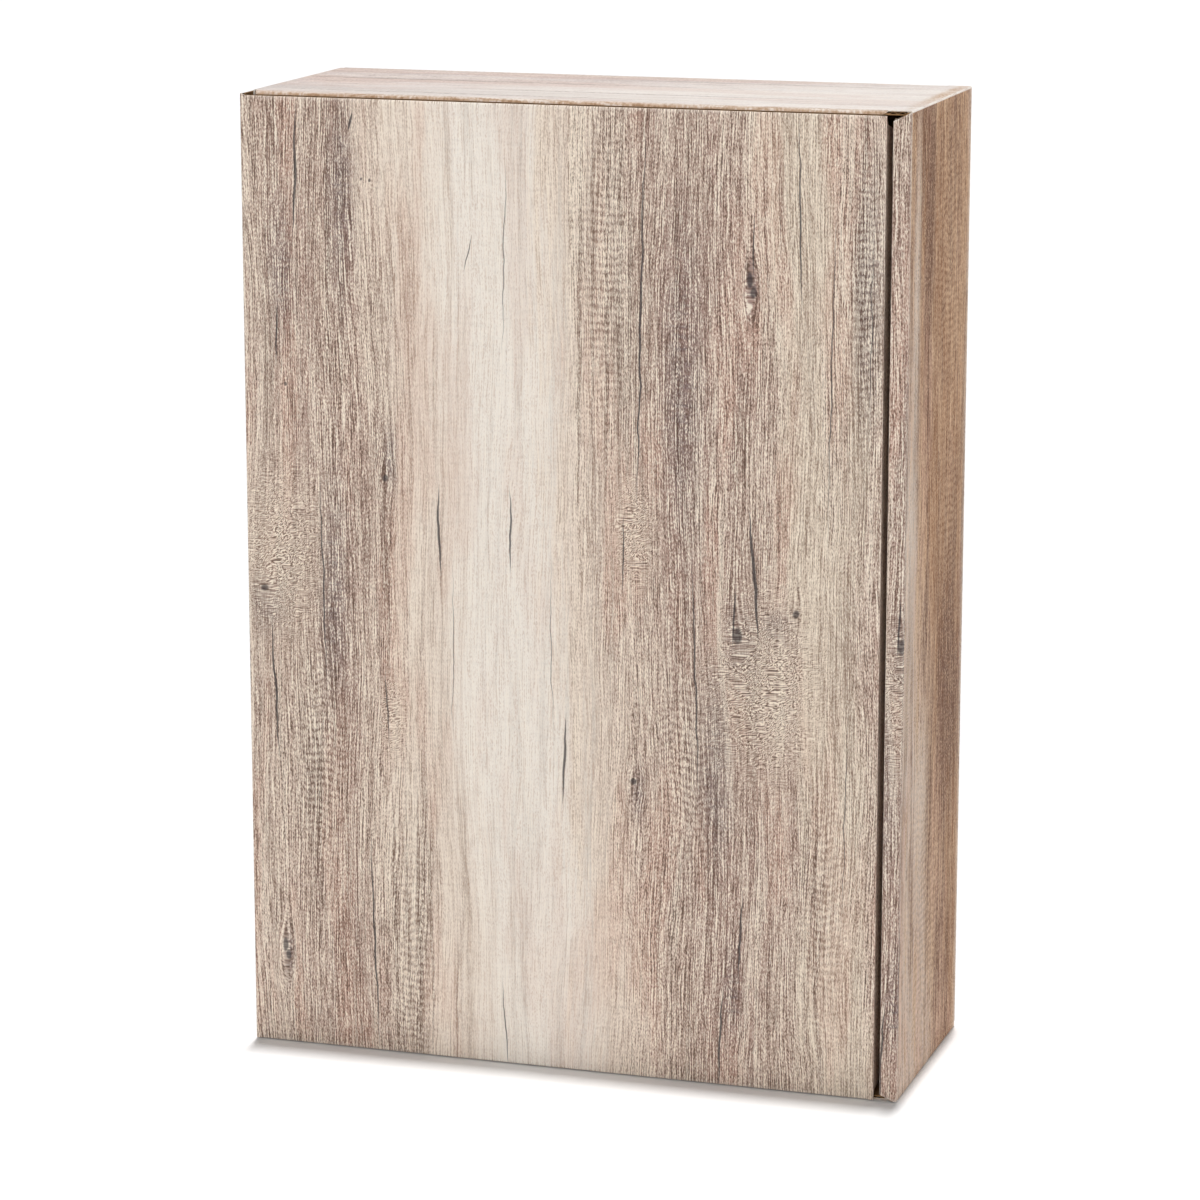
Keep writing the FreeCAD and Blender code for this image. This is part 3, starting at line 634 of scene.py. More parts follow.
# Marks of the prints, in millimetres from the lower corner of the sheet.
# Cracks and veins: across at the middle, foot, head, lean from foot to middle, half width.
# Spots: across, along, reach across, reach along.
MARKS = {
    "lid": {
        "Cracks": [
            (20.9, 304, 359, 1.1, 0.62), (13.0, 257, 286, 0.2, 0.45), (30.0, 134, 226, -1.0, 0.45),
            (75.6, 182, 220, -0.6, 0.62), (102.9, 185, 221, 0.1, 0.5), (54.6, 117, 151, -0.6, 0.4),
            (10.2, 107, 169, -1.6, 0.55), (123.6, 100, 138, 0.4, 0.6), (48.6, -6, 92, -1.4, 0.5),
            (100.2, -6, 36, -1.5, 0.36), (152.5, 206, 362, 1.6, 0.55), (210.8, 282, 362, -0.8, 0.45),
            (194.0, 297, 326, 0.2, 0.4), (222.8, 192, 341, 1.2, 0.36), (146.0, 180, 215, 0.4, 0.42),
            (173.2, 100, 208, -1.8, 0.45), (194.8, 166, 219, -2.2, 0.75), (190.8, 38, 76, 0.8, 0.55),
            (183.3, -6, 40, 1.0, 0.55), (43.0, 346, 354, 0.9, 0.6), (187.5, 164, 190, 0.3, 0.5),
            (80.6, 118, 195, 0.3, 0.26), (118.7, 120, 201, -0.3, 0.26), (101.0, 262, 346, 0.9, 0.3),
            (87.5, 296, 312, 1.6, 0.34), (237.0, 236, 330, 0.5, 0.3), (229.5, 60, 150, 0.8, 0.3),
        ],
        "Veins": [
            (129.6, 205, 362, 0.9, 0.9), (134.4, 215, 362, 0.4, 0.8), (139.8, 200, 362, 0.9, 0.9),
            (144.6, 210, 362, 0.5, 0.8), (148.6, 220, 362, 0.8, 0.8), (57.0, -6, 110, -0.7, 0.9),
            (62.0, -6, 104, -0.5, 0.8), (66.6, -6, 112, -0.9, 0.9), (71.4, -6, 98, -0.6, 0.7),
            (38.5, 240, 362, 0.6, 1.3), (33.0, 250, 362, 0.4, 0.9), (27.0, 30, 130, 0.6, 1.0),
            (166.0, 210, 340, -0.8, 1.1), (181.0, 60, 150, 0.8, 1.0), (233.5, 240, 362, 0.4, 1.4),
        ],
        "Knots": [
            (55.0, 220.0, 1.7, 1.9), (150.0, 113.0, 1.7, 1.9), (12.4, 38.5, 1.6, 4.4),
            (13.6, 34.5, 1.5, 3.0), (192.4, 299.0, 1.6, 4.6), (193.8, 294.5, 1.8, 3.2),
            (189.0, 170.0, 2.6, 4.6), (210.6, 179.5, 1.9, 2.2), (50.2, 329.0, 0.8, 1.0),
            (46.8, 329.4, 0.7, 0.8), (15.9, 253.0, 0.9, 1.1), (7.0, 176.0, 2.2, 1.8),
        ],
        "Smudges": [
            (15.0, 296.0, 8.0, 40.0), (39.0, 322.0, 9.0, 60.0), (188.0, 36.0, 7.0, 34.0),
            (8.0, 170.0, 12.0, 18.0), (190.0, 166.0, 12.0, 24.0), (203.0, 174.0, 11.0, 10.0),
            (57.0, 228.0, 4.0, 18.0), (152.0, 108.0, 4.0, 18.0), (236.0, 300.0, 9.0, 75.0),
            (168.0, 262.0, 12.0, 90.0), (34.0, 176.0, 9.0, 70.0), (181.0, 120.0, 10.0, 60.0),
            (14.0, 36.0, 4.0, 20.0), (193.0, 297.0, 4.0, 20.0),
        ],
        "Scales": [
            (13.0, 190.0, 28.0, 56.0), (199.0, 152.0, 36.0, 60.0), (150.0, 205.0, 13.0, 34.0),
            (57.0, 130.0, 9.0, 26.0),
        ],
        "Ladders": [
            (139.0, 300.0, 16.0, 110.0), (64.0, 36.0, 13.0, 90.0), (235.0, 300.0, 10.0, 90.0),
            (28.0, 110.0, 16.0, 70.0), (170.0, 120.0, 16.0, 70.0), (222.0, 70.0, 14.0, 70.0),
        ],
    },
    "side": {
        "Cracks": [(3.0, 205, 262, 0.4, 0.3), (11.0, 60, 120, 0.5, 0.3)],
        "Veins": [
            # The first vein of the side is a dark line along its front fold, the whole height up
            (1.4, -40, 400, 0.1, 1.3), (5.0, 240, 400, 0.2, 1.0), (17.5, 250, 400, 0.2, 1.3),
            (26.0, 240, 420, 0.4, 3.0), (33.0, 225, 420, 0.5, 2.6), (37.0, 270, 400, 0.3, 1.2),
            (75.0, 270, 400, 0.3, 1.4), (55.0, 90, 240, -3.0, 1.8), (66.0, 70, 200, -3.0, 2.4),
            (78.0, 60, 230, -2.0, 2.6), (62.0, -30, 90, 1.0, 1.6), (20.0, 20, 140, 1.0, 1.2),
            (44.0, -30, 100, 1.0, 1.3), (80.0, -20, 70, 0.6, 1.8),
        ],
        "Knots": [(0.8, 178.0, 2.4, 3.0)],
        "Smudges": [
            (0.0, 176.0, 7.0, 11.0), (72.0, 140.0, 27.0, 80.0), (78.0, 132.0, 26.0, 62.0),
            (33.0, 325.0, 11.0, 65.0),
        ],
        "Scales": [(8.0, 150.0, 16.0, 50.0)],
        "Ladders": [(40.0, 60.0, 50.0, 110.0), (62.0, 300.0, 36.0, 110.0), (72.0, 210.0, 26.0, 60.0)],
        # Pale patches of the print; the first is a painted highlight along the side's back fold
        "Blooms and highlight": [
            (96.0, 180.0, 8.0, 900.0), (13.0, 290.0, 8.0, 120.0), (10.0, 208.0, 14.0, 60.0),
            (30.0, 106.0, 18.0, 46.0),
        ],
    },
    "end": {
        "Veins": [
            (12.0, 430, 620, 0.6, 0.8), (30.0, 380, 560, 1.2, 0.9), (58.0, 420, 640, -1.0, 0.9),
            (78.0, 350, 520, 0.8, 0.8),
        ],
        "Smudges": [(14.0, 560.0, 22.0, 170.0)],
        "Rubs": [(62.0, 362.4, 74.0, 4.6)],
    },
}


@once
def marks_group(zone):
    """Marks of one print: a mask for each kind of mark, and a push of the grain past knots."""
    crack_group()
    spot_group()
    titles = ["Cracks", "Veins", "Knots", "Smudges", "Scales", "Ladders", "Blooms and highlight", "Rubs"]
    tree, source, result = new_group(
        f"Marks {zone}", {"Sheet": VECTOR}, {title: FLOAT for title in titles + ["Push"]}
    )
    sheet = source["Sheet"]
    sway = calc(tree, "MULTIPLY_ADD", noise(tree, sheet, 30.0, 14.0, 2.0), 2.0, -1.0)
    bent = vector_calc(tree, "ADD", sheet, across_only(tree, sway))
    push = 0.0
    for title in titles:
        total = 0.0
        for mark in MARKS[zone].get(title, ()):
            if title in ("Cracks", "Veins"):
                across, foot, head, lean, width = mark
                mask = use_group(tree, "Crack", Sheet=bent, Across=across, Middle=(foot + head) / 2,
                                 Half=(head - foot) / 2, Lean=lean, Width=width)["Mask"]
            else:
                across, along, reach_across, reach_along = mark
                mask = use_group(tree, "Spot", Sheet=bent, Centre=(across, along, 0.0),
                                 Reach=(reach_across, reach_along, 1.0))["Mask"]
            total = calc(tree, "MAXIMUM", mask, total)
            if title == "Knots":
                around = use_group(tree, "Spot", Sheet=sheet, Centre=(across, along, 0.0),
                                   Reach=(reach_across * 4, reach_along * 7, 1.0))
                swelling = calc(tree, "MULTIPLY", around["Mask"], around["Across"])
                push = calc(tree, "MULTIPLY_ADD", swelling, -0.6, push)
        if title in MARKS[zone]:
            tree.links.new(total, result[title])
    if "Knots" in MARKS[zone]:
        tree.links.new(push, result["Push"])
    return tree


# Bands of the prints: place across the sheet in millimetres, and ink
BANDS = {
    "lid": [
        (0, "beige"), (12, "brown"), (33, "mauve"), (46, "brown"), (56, "beige"), (70, "cream"), (92, "pale"),
        (116, "pale"), (128, "cream"), (142, "beige"), (154, "brown"), (168, "mauve"), (188, "mauve"),
        (202, "brown"), (212, "straw"), (228, "straw"), (238, "brown"), (250, "beige"),
    ],
    "side": [
        (0, "ash"), (46, "ash"), (78, "tan"), (92, "umber"), (110, "rust"), (128, "tan"), (160, "tan"),
        (180, "ash"),
    ],
    # On the top the bands climb from chalk at its right end to blush at its left end, so it is darker towards
    # the left
    "end": [(0, "chalk"), (80, "chalk"), (120, "blush"), (200, "blush"), (230, "chalk")],
}
# Where the bands of a print lie: climb across for each millimetre along, and a shift, in millimetres
BAND_SHIFT = {"lid": (0.055, -10.0), "side": (0.2, 0.0), "end": (0.35, -126.0)}
# Ink and strength of the pressed strip along a cut edge
PRESSED = {"lid": ("paper", 0.3), "side": ("kraft", 0.4), "end": ("kraft", 0.75)}
# How a print shows its grain: width of the threads, strength of streaks, lines, threads and smudges
GRAIN_SHOW = {
    "lid": (1.0, 0.62, 0.26, 1.0, 0.72),
    "side": (1.8, 1.25, 0.6, 0.85, 1.3),
    "end": (1.6, 0.45, 0.35, 0.7, 0.6),
}
# Reach of a print's marks to the left of its sheet, in millimetres
MARK_MARGIN = 8.0
# How far streaks and clouds push the sides of the bands, in millimetres
STREAK_PUSH = 44.0
CLOUD_PUSH = 22.0
# Height of the fine relief of print and paper, in metres
RELIEF = 0.00003


def new_material(name):
    """New material with a shader and an output; returns it with its tree and the shader."""
    material = bpy.data.materials.new(name)
    material.use_nodes = True
    tree = material.node_tree
    tree.nodes.clear()
    shader = add_node(tree, "ShaderNodeBsdfPrincipled")
    output = add_node(tree, "ShaderNodeOutputMaterial")
    tree.links.new(shader.outputs[0], output.inputs["Surface"])
    return material, tree, shader


def opaque(value):
    """Colour setting with its alpha."""
    return (*value, 1.0)


@once
def wood_print(zone):
    """Wood-look print: bands across the sheet, grain, and its own marks."""
    grain_group()
    marks_group(zone)
    inks = settings().colours
    material, tree, shader = new_material(f"wood_print_{zone}")
    sheet = add_node(tree, "ShaderNodeAttribute", attribute_name="sheet").outputs["Vector"]
    parts = add_node(tree, "ShaderNodeSeparateXYZ", {0: sheet}).outputs
    wrapped = calc(tree, "FLOORED_MODULO", calc(tree, "ADD", parts["X"], MARK_MARGIN), WIDTH * MM)
    wrapped = calc(tree, "SUBTRACT", wrapped, MARK_MARGIN)
    place = add_node(tree, "ShaderNodeCombineXYZ", {"X": wrapped, "Y": parts["Y"]}).outputs[0]
    marks = use_group(tree, f"Marks {zone}", Sheet=place)
    flow = vector_calc(tree, "ADD", sheet, across_only(tree, marks["Push"]))
    width, streaks, lines, threads, smudges = GRAIN_SHOW[zone]
    vein, shadow, pore, fibre, yellow = inks.vein, inks.shadow, inks.pore, inks.fibre, inks.straw
    if zone == "side":
        vein = shadow = pore = inks.bark
        fibre = inks.sand
        yellow = inks.tan
    grain = use_group(tree, "Wood grain", Sheet=flow, Width=width, Curl=marks["Scales"])

    # Bands, with ragged sides
    climb, shift = BAND_SHIFT[zone]
    across = calc(tree, "ADD", calc(tree, "MULTIPLY_ADD", parts["Y"], climb, parts["X"]), shift)
    ragged = calc(tree, "MULTIPLY_ADD", grain["Streaks"], STREAK_PUSH, across)
    ragged = calc(tree, "MULTIPLY_ADD", grain["Clouds"], CLOUD_PUSH, ragged)
    ragged = calc(tree, "SUBTRACT", ragged, (STREAK_PUSH + CLOUD_PUSH) / 2)
    share = calc(tree, "FRACT", calc(tree, "DIVIDE", ragged, WIDTH * MM))
    ramp = add_node(tree, "ShaderNodeValToRGB", {"Fac": share})
    stops = ramp.color_ramp.elements
    for number, (band, ink) in enumerate(BANDS[zone]):
        stop = stops[number] if number < 2 else stops.new(1.0)
        stop.position = band / (WIDTH * MM)
        stop.color = opaque(getattr(inks, ink))
    tint = ramp.outputs["Color"]

    # Most of the grain shows less in the pale bands
    light = add_node(tree, "ShaderNodeRGBToBW", {"Color": tint}).outputs[0]
    depth = calc(tree, "MULTIPLY_ADD", ease(tree, light, 0.80, 0.48), 0.64, 0.36)
    off_pale = ease(tree, light, 0.74, 0.46)
    patchy = calc(tree, "MULTIPLY_ADD", grain["Ripple"], 1.6, 0.1)
    strokes = calc(tree, "MULTIPLY_ADD", grain["Dark"], 1.1, 0.4)
    gaps = calc(tree, "SUBTRACT", 1.0, grain["Rungs"])

    # Paper shows where a fold has worn the print, and paper or kraft where a cut edge was pressed
    worn = calc(tree, "MULTIPLY", parts["Z"], ease(tree, grain["Ripple"], 0.3, 0.6), clamp=True)
    edge = calc(tree, "MULTIPLY", parts["Z"], -1.0, clamp=True)
    off_light = calc(tree, "MULTIPLY_ADD", grain["Light"], -0.7, 1.0)
    pressed_ink, pressed_amount = PRESSED[zone]

    # Mask, where it shows, strength and ink of each layer, printed one over another
    layers = [
        (ease(tree, grain["Hue"], 0.48, 0.64), depth, 0.5, inks.rose),
        (ease(tree, grain["Hue"], 0.5, 0.32), depth, 0.2, yellow),
        (ease(tree, grain["Streaks"], 0.52, 0.26), depth, streaks, vein),
        (ease(tree, grain["Streaks"], 0.50, 0.76), depth, streaks, fibre),
        (grain["Lines"], depth, lines, vein),
        (ease(tree, grain["Ripple"], 0.5, 0.25), depth, 0.12, pore),
        (ease(tree, grain["Ripple"], 0.5, 0.75), depth, 0.12, fibre),
        (marks["Veins"], patchy, 0.55, vein),
        (calc(tree, "MULTIPLY", marks["Smudges"], patchy), depth, smudges, shadow),
        (marks["Scales"], depth, 0.45, inks.straw),
        # Pale patches of the print, and a painted highlight along the right wall's back fold
        (marks["Blooms and highlight"], 1.0, 0.8, inks.cream),
        (calc(tree, "MULTIPLY", marks["Ladders"], grain["Rungs"]), depth, 0.36, pore),
        (calc(tree, "MULTIPLY", marks["Ladders"], gaps), depth, 0.36, fibre),
        (marks["Rubs"], strokes, 0.95, inks.kraft),
        (grain["Dark"], 1.0, 0.3 * threads, inks.rust),
        (grain["Dark"], off_pale, 0.78 * threads, pore),
        (grain["Light"], depth, 0.86 * threads, fibre),
        (ease(tree, marks["Knots"], 0.0, 0.6), 1.0, 0.75, inks.ink),
        (marks["Cracks"], 1.0, 0.85, inks.ink),
        (worn, 1.0, 0.8, inks.paper),
        (edge, off_light, pressed_amount, getattr(inks, pressed_ink)),
        (edge, grain["Dark"], 0.5, inks.kraft_dark),
    ]
    for mask, where, amount, ink in layers:
        shown = calc(tree, "MULTIPLY", calc(tree, "MULTIPLY", mask, where), amount, clamp=True)
        tint = mix(tree, shown, tint, opaque(ink))
    height = calc(tree, "SUBTRACT", grain["Light"], grain["Dark"])
    height = calc(tree, "SUBTRACT", height, marks["Cracks"])
    shader.inputs["Specular IOR Level"].default_value = 0.12
    tree.links.new(tint, shader.inputs["Base Color"])
    tree.links.new(calc(tree, "MULTIPLY_ADD", grain["Dark"], 0.12, 0.55), shader.inputs["Roughness"])
    relief = {"Height": height, "Strength": 0.5, "Distance": RELIEF}
    tree.links.new(add_node(tree, "ShaderNodeBump", relief).outputs[0], shader.inputs["Normal"])
    return material


@once
def fibre_group():
    """Paper fibres: a mask of short fibres lying every way, and slow clouds, on places in metres."""
    tree, source, result = new_group("Paper fibres", {"Place": VECTOR}, {"Fibres": FLOAT, "Clouds": FLOAT})
    inputs = {"Vector": source["Place"], "Scale": 60.0, "Detail": 3.0}
    clouds = add_node(tree, "ShaderNodeTexNoise", inputs).outputs["Fac"]
    inputs = {"Vector": source["Place"], "Scale": 900.0, "Detail": 3.0, "Distortion": 2.0}
    fine = add_node(tree, "ShaderNodeTexNoise", inputs).outputs["Fac"]
    tree.links.new(ease(tree, fine, 0.48, 0.72), result["Fibres"])
    tree.links.new(clouds, result["Clouds"])
    return tree


def plain_paper(name, ink, speck_ink, speck, roughness, relief):
    """Paper of one ink with clouds and fibres of another, and the fibres' relief."""
    fibre_group()
    material, tree, shader = new_material(name)
    place = add_node(tree, "ShaderNodeTexCoord").outputs["Object"]
    paper = use_group(tree, "Paper fibres", Place=place)
    amount = calc(tree, "MULTIPLY", calc(tree, "ADD", paper["Clouds"], paper["Fibres"]), speck)
    tree.links.new(mix(tree, amount, opaque(ink), opaque(speck_ink)), shader.inputs["Base Color"])
    tree.links.new(calc(tree, "MULTIPLY_ADD", paper["Fibres"], 0.1, roughness), shader.inputs["Roughness"])
    bump = {"Height": paper["Fibres"], "Strength": relief, "Distance": RELIEF}
    tree.links.new(add_node(tree, "ShaderNodeBump", bump).outputs[0], shader.inputs["Normal"])
    return material


@once
def kraft_paper():
    """Brown kraft paper with dark fibres."""
    inks = settings().colours
    return plain_paper("kraft_paper", inks.kraft, inks.kraft_dark, speck=0.35, roughness=0.78, relief=0.4)


@once
def paper_edge():
    """White paper under the print, where the liner is cut."""
    inks = settings().colours
    return plain_paper("paper_edge", inks.paper, inks.kraft, speck=0.28, roughness=0.75, relief=0.0)


# Pieces
def lock_places():
    """Lower and upper ends of the lock tabs, up the inner wall."""
    flaps = settings().flaps
    low, high = NODE["right_inner_wall"]
    spread = (high.z - low.z) * flaps.lock_spread
    middles = (low.z + high.z) / 2 + np.linspace(-0.5, 0.5, flaps.lock_tabs) * spread
    return [(middle - flaps.lock_tab / 2, middle + flaps.lock_tab / 2) for middle in middles]


def between(rows, spans):
    """True for each row inside one of the spans."""
    return np.any([(rows > low) & (rows < high) for low, high in spans], axis=0)


class WINEBOX_OT_walls(bpy.types.Operator):
    """Fold the tray's walls: left wall, back, right wall, rim and inner wall"""

    bl_idname = "winebox.walls"
    bl_label = "Tray walls"

    # Places in the lid's print and the side's print where the rim and the inner wall start, in metres
    RIM_PRINT = 0.183
    INNER_PRINT = -0.1

    def execute(self, context):
        board = settings().board
        self.left_wall(board)
        self.back_panel()
        self.right_wall(board)
        self.rim()
        self.inner_wall()
        return {"FINISHED"}

    def left_wall(self, board):
        """Sheet from the back corner round to the lid's fold, flutes level."""
        low, high = NODE["left_wall"]
        corners = [(high.x, BACK, 0), (LEFT, BACK, 0), (LEFT, FRONT + board.crease_reach, 0)]

        def lay(radius):
            line = FoldedLine(corners, UPWARD, radius)
            return [(line, *grid_stations(line, low.z, high.z))]

        place = along_wall(-DEPTH - (high.x - LEFT))
        printed_board("left_wall", "tray", lay, ALONG_WIDTH, place, wood_print("lid"))

    def back_panel(self):
        """Sheet across the back with a row of lock slots; a narrow bridge closes each slot at the corner."""
        gap = settings().flaps.lock_gap
        low, high = NODE["back_panel"]
        inner = NODE["right_inner_wall"][0].x
        slots = [(foot - gap, head + gap) for foot, head in lock_places()]

        def lay(radius):
            line = FoldedLine([(high.x, BACK, 0), (low.x, BACK, 0)], UPWARD)
            rows = flute_rows(low.z, high.z, [end for slot in slots for end in slot])
            past_slot = np.where(between(rows, slots), high.x - inner + gap, 0.0)
            sheets = [(line, *grid_across(line, rows, past_slot))]
            for foot, head in slots:
                bridge = grid_across(line, flute_rows(foot, head), 0.0, high.x - inner - BOARD - gap)
                sheets.append((line, *bridge))
            return sheets

        place = along_wall(-DEPTH - WIDTH + (RIGHT - high.x))
        printed_board("back_panel", "tray", lay, ALONG_WIDTH, place, wood_print("lid"), crush=0.0)

    def right_wall(self, board):
        """Outer sheet of the hollow wall, from the rim's fold round to the back."""
        low = NODE["right_wall"][0]
        corners = [(RIGHT, low.y, 0), (RIGHT, BACK, 0), (low.x, BACK, 0)]

        def lay(radius):
            line = FoldedLine(corners, UPWARD, radius)
            return [(line, *grid_stations(line, low.z, TOP - board.crease_radius))]

        place = along_wall(low.y - FRONT)
        printed_board("right_wall", "tray", lay, ALONG_WIDTH, place, wood_print("side"), crush=0.0)

    def rim(self):
        """Narrow front strip with a fold on each side and mitred ends."""
        flaps = settings().flaps
        low, high = NODE["right_rim"]
        corners = [(low.x, high.y, 0), (low.x, FRONT, 0), (RIGHT, FRONT, 0), (RIGHT, high.y, 0)]

        def lay(radius):
            line = FoldedLine(corners, UPWARD, radius)
            across = (line.place[:, 0] - low.x) / (RIGHT - low.x)
            flat = 1 - flaps.rim_foot_flat / (RIGHT - low.x)
            foot = low.z + flaps.rim_foot_rise * np.clip(1 - across / flat, 0, 1)
            bends = (0, flaps.rim_top_bend, 1)
            head = high.z - np.interp(across, bends, (flaps.rim_top_fall, flaps.rim_top_dip, 0))
            return [(line, *grid_stations(line, foot, head))]

        place = along_wall(self.RIM_PRINT - (high.y - FRONT))
        fray = settings().board.fray
        printed_board("right_rim", "tray", lay, ALONG_WIDTH, place, wood_print("lid"), 0.0, fray)

    def inner_wall(self):
        """Inner sheet of the hollow wall, printed side to the bay, with lock tabs through the back."""
        low, high = NODE["right_inner_wall"]
        tabs = lock_places()
        shoulder = high.y - NODE["back_panel"][0].y

        def lay(radius):
            line = FoldedLine([(low.x, high.y, 0), (low.x, low.y, 0)], UPWARD)
            rows = flute_rows(low.z, high.z, [end for tab in tabs for end in tab])
            return [(line, *grid_across(line, rows, np.where(between(rows, tabs), 0.0, shoulder)))]

        place = along_wall(self.INNER_PRINT)
        printed_board("right_inner_wall", "tray", lay, ALONG_WIDTH, place, wood_print("side"))


class WINEBOX_OT_lid(bpy.types.Operator):
    """Make the lid and the tuck flap on its closing edge"""

    bl_idname = "winebox.lid"
    bl_label = "Lid"

    # Points that the tuck flap's end is worked out at
    OUTLINE_STEPS = 80

    def execute(self, context):
        self.panel(settings().board)
        self.tuck_flap(settings().board)
        return {"FINISHED"}

    def panel(self, board):
        """Flat front between its two opening folds."""
        low, high = NODE["lid_panel"]

        def lay(radius):
            corners = [(LEFT + board.crease_reach, FRONT, 0), (high.x - board.crease_reach, FRONT, 0)]
            line = FoldedLine(corners, UPWARD)
            return [(line, *grid_across(line, flute_rows(low.z, high.z)))]

        printed_board("lid_panel", "lid", lay, ALONG_WIDTH, along_wall(board.crease_reach), wood_print("lid"))

    def tuck_flap(self, board):
        """Flap with slanted ends and rounded corners, behind the rim's slot."""
        flaps = settings().flaps
        low, high = NODE["lid_tuck_flap"]

        def lay(radius):
            line = FoldedLine([(high.x, FRONT + board.crease_reach, 0), (high.x, high.y, 0)], UPWARD)
            rows = flute_rows(low.z, high.z)
            depth = np.linspace(0, line.length, self.OUTLINE_STEPS)
            inset = rounded_inset(depth, line.length, flaps.tuck_taper, flaps.tuck_round)
            end = np.interp(np.minimum(rows - low.z, high.z - rows), inset, depth)
            return [(line, *grid_across(line, rows, 0.0, np.maximum(end, board.liner)))]

        place = along_wall(high.x - LEFT + board.crease_reach)
        printed_board("lid_tuck_flap", "lid_tuck", lay, ALONG_WIDTH, place, wood_print("lid"))


def clear_front(x):
    """Front edge of the top and bottom panels at x, cut back behind the rim's folds."""
    slot = NODE["lid_panel"][1].x
    front = NODE["top_panel"][0].y
    share = np.clip((x - slot) / (RIGHT - settings().board.crease_reach - slot), 0, 1)
    return front + settings().flaps.corner_cut * share


class WINEBOX_OT_ends(bpy.types.Operator):
    """Make the top and bottom panels with their tuck flaps"""

    bl_idname = "winebox.ends"
    bl_label = "Top and bottom"

    def execute(self, context):
        board = settings().board
        self.top(board)
        self.bottom()
        return {"FINISHED"}

    def tuck_ends(self, node, distance, depth):
        """Ends of a tuck flap across the box at distances from its fold."""
        flaps = settings().flaps
        low, high = NODE[node]
        inset = rounded_inset(distance, depth, flaps.tuck_taper, flaps.tuck_round)
        return low.y + inset, high.y - inset

    def top(self, board):
        """Flat top between its two opening folds, and the flap that tucks behind the left wall."""
        low, high = NODE["top_panel"]
        start = low.x + board.crease_reach

        def lay_panel(radius):
            line = FoldedLine([(start, 0, TOP), (RIGHT - board.crease_reach, 0, TOP)], INWARD)
            rows = flute_rows(0, line.length)
            return [(line, *grid_along(rows, clear_front(start + rows), high.y))]

        slot = NODE["lid_panel"][1].x - start

        def crush(s):
            """Pressed down along the lid, and left raw over the rim."""
            return board.top_crush * np.clip((slot - s) / board.crease_reach, 0, 1)

        place = along_line(TOP + RIGHT - start, -1)
        printed_board("top_panel", "top", lay_panel, ALONG_LINE, place, wood_print("end"), crush)

        flap = NODE["top_tuck_flap"][0]

        def lay_flap(radius):
            line = FoldedLine([(flap.x, 0, flap.z), (flap.x, 0, TOP - board.crease_reach)], INWARD)
            rows = flute_rows(0, line.length)
            ends = self.tuck_ends("top_tuck_flap", line.length - rows, line.length)
            return [(line, *grid_along(rows, *ends))]

        place = along_line(TOP + WIDTH + TOP - flap.z, -1)
        printed_board("top_tuck_flap", "top_tuck", lay_flap, ALONG_LINE, place, wood_print("end"))

    def bottom(self):
        """Floor folded from the right wall, and its flap behind the left wall, folded up for good."""
        low, high = NODE["bottom_panel"]

        def lay_panel(radius):
            line = FoldedLine([(RIGHT, 0, high.z), (RIGHT, 0, 0), (low.x, 0, 0)], INWARD, radius)
            rows = np.union1d(flute_rows(0, line.length), line.distance)
            return [(line, *grid_along(rows, clear_front(line.at(rows)[0][:, 0]), high.y))]

        place = along_line(high.z, -1)
        printed_board("bottom_panel", "tray", lay_panel, ALONG_LINE, place, wood_print("side"))

        flap, flap_end = NODE["bottom_tuck_flap"]
        fold = flap_end.x - flap.x

        def lay_flap(radius):
            line = FoldedLine([(flap_end.x, 0, 0), (flap.x, 0, 0), (flap.x, 0, flap_end.z)], INWARD, radius)
            rows = np.union1d(flute_rows(0, line.length), line.distance)
            ends = self.tuck_ends("bottom_tuck_flap", np.maximum(rows - fold, 0), line.length - fold)
            return [(line, *grid_along(rows, *ends))]

        place = along_line(flap_end.x - RIGHT, -1)
        printed_board("bottom_tuck_flap", "tray", lay_flap, ALONG_LINE, place, wood_print("side"))


class WINEBOX_OT_dust_flaps(bpy.types.Operator):
    """Fold the two dust flaps forward from the back"""

    bl_idname = "winebox.dust_flaps"
    bl_label = "Dust flaps"

    def execute(self, context):
        for node in ("top_dust_flap", "bottom_dust_flap"):
            low, high = NODE[node]
            if node == "top_dust_flap":
                corners = [(0, BACK, low.z), (0, BACK, high.z), (0, low.y, high.z)]
            else:
                corners = [(0, low.y, low.z), (0, BACK, low.z), (0, BACK, high.z)]
            self.flap(node, corners)
        return {"FINISHED"}

    def flap(self, node, corners):
        """Sheet along the corners with rounded free corners, flutes level across the box."""
        corner = settings().flaps.dust_round
        low, high = NODE[node]

        def lay(radius):
            line = FoldedLine(corners, ACROSS, radius)
            rows = np.union1d(flute_rows(0, line.length), line.distance)
            past = np.clip(corner - (line.at(rows)[0][:, 1] - low.y), 0, corner)
            inset = corner - np.sqrt(corner ** 2 - past ** 2)
            return [(line, *grid_along(rows, low.x + inset, high.x - inset))]

        def place(s, w):
            return -DEPTH - (w - LEFT), s

        printed_board(node, "tray", lay, ALONG_LINE, place, wood_print("lid"))


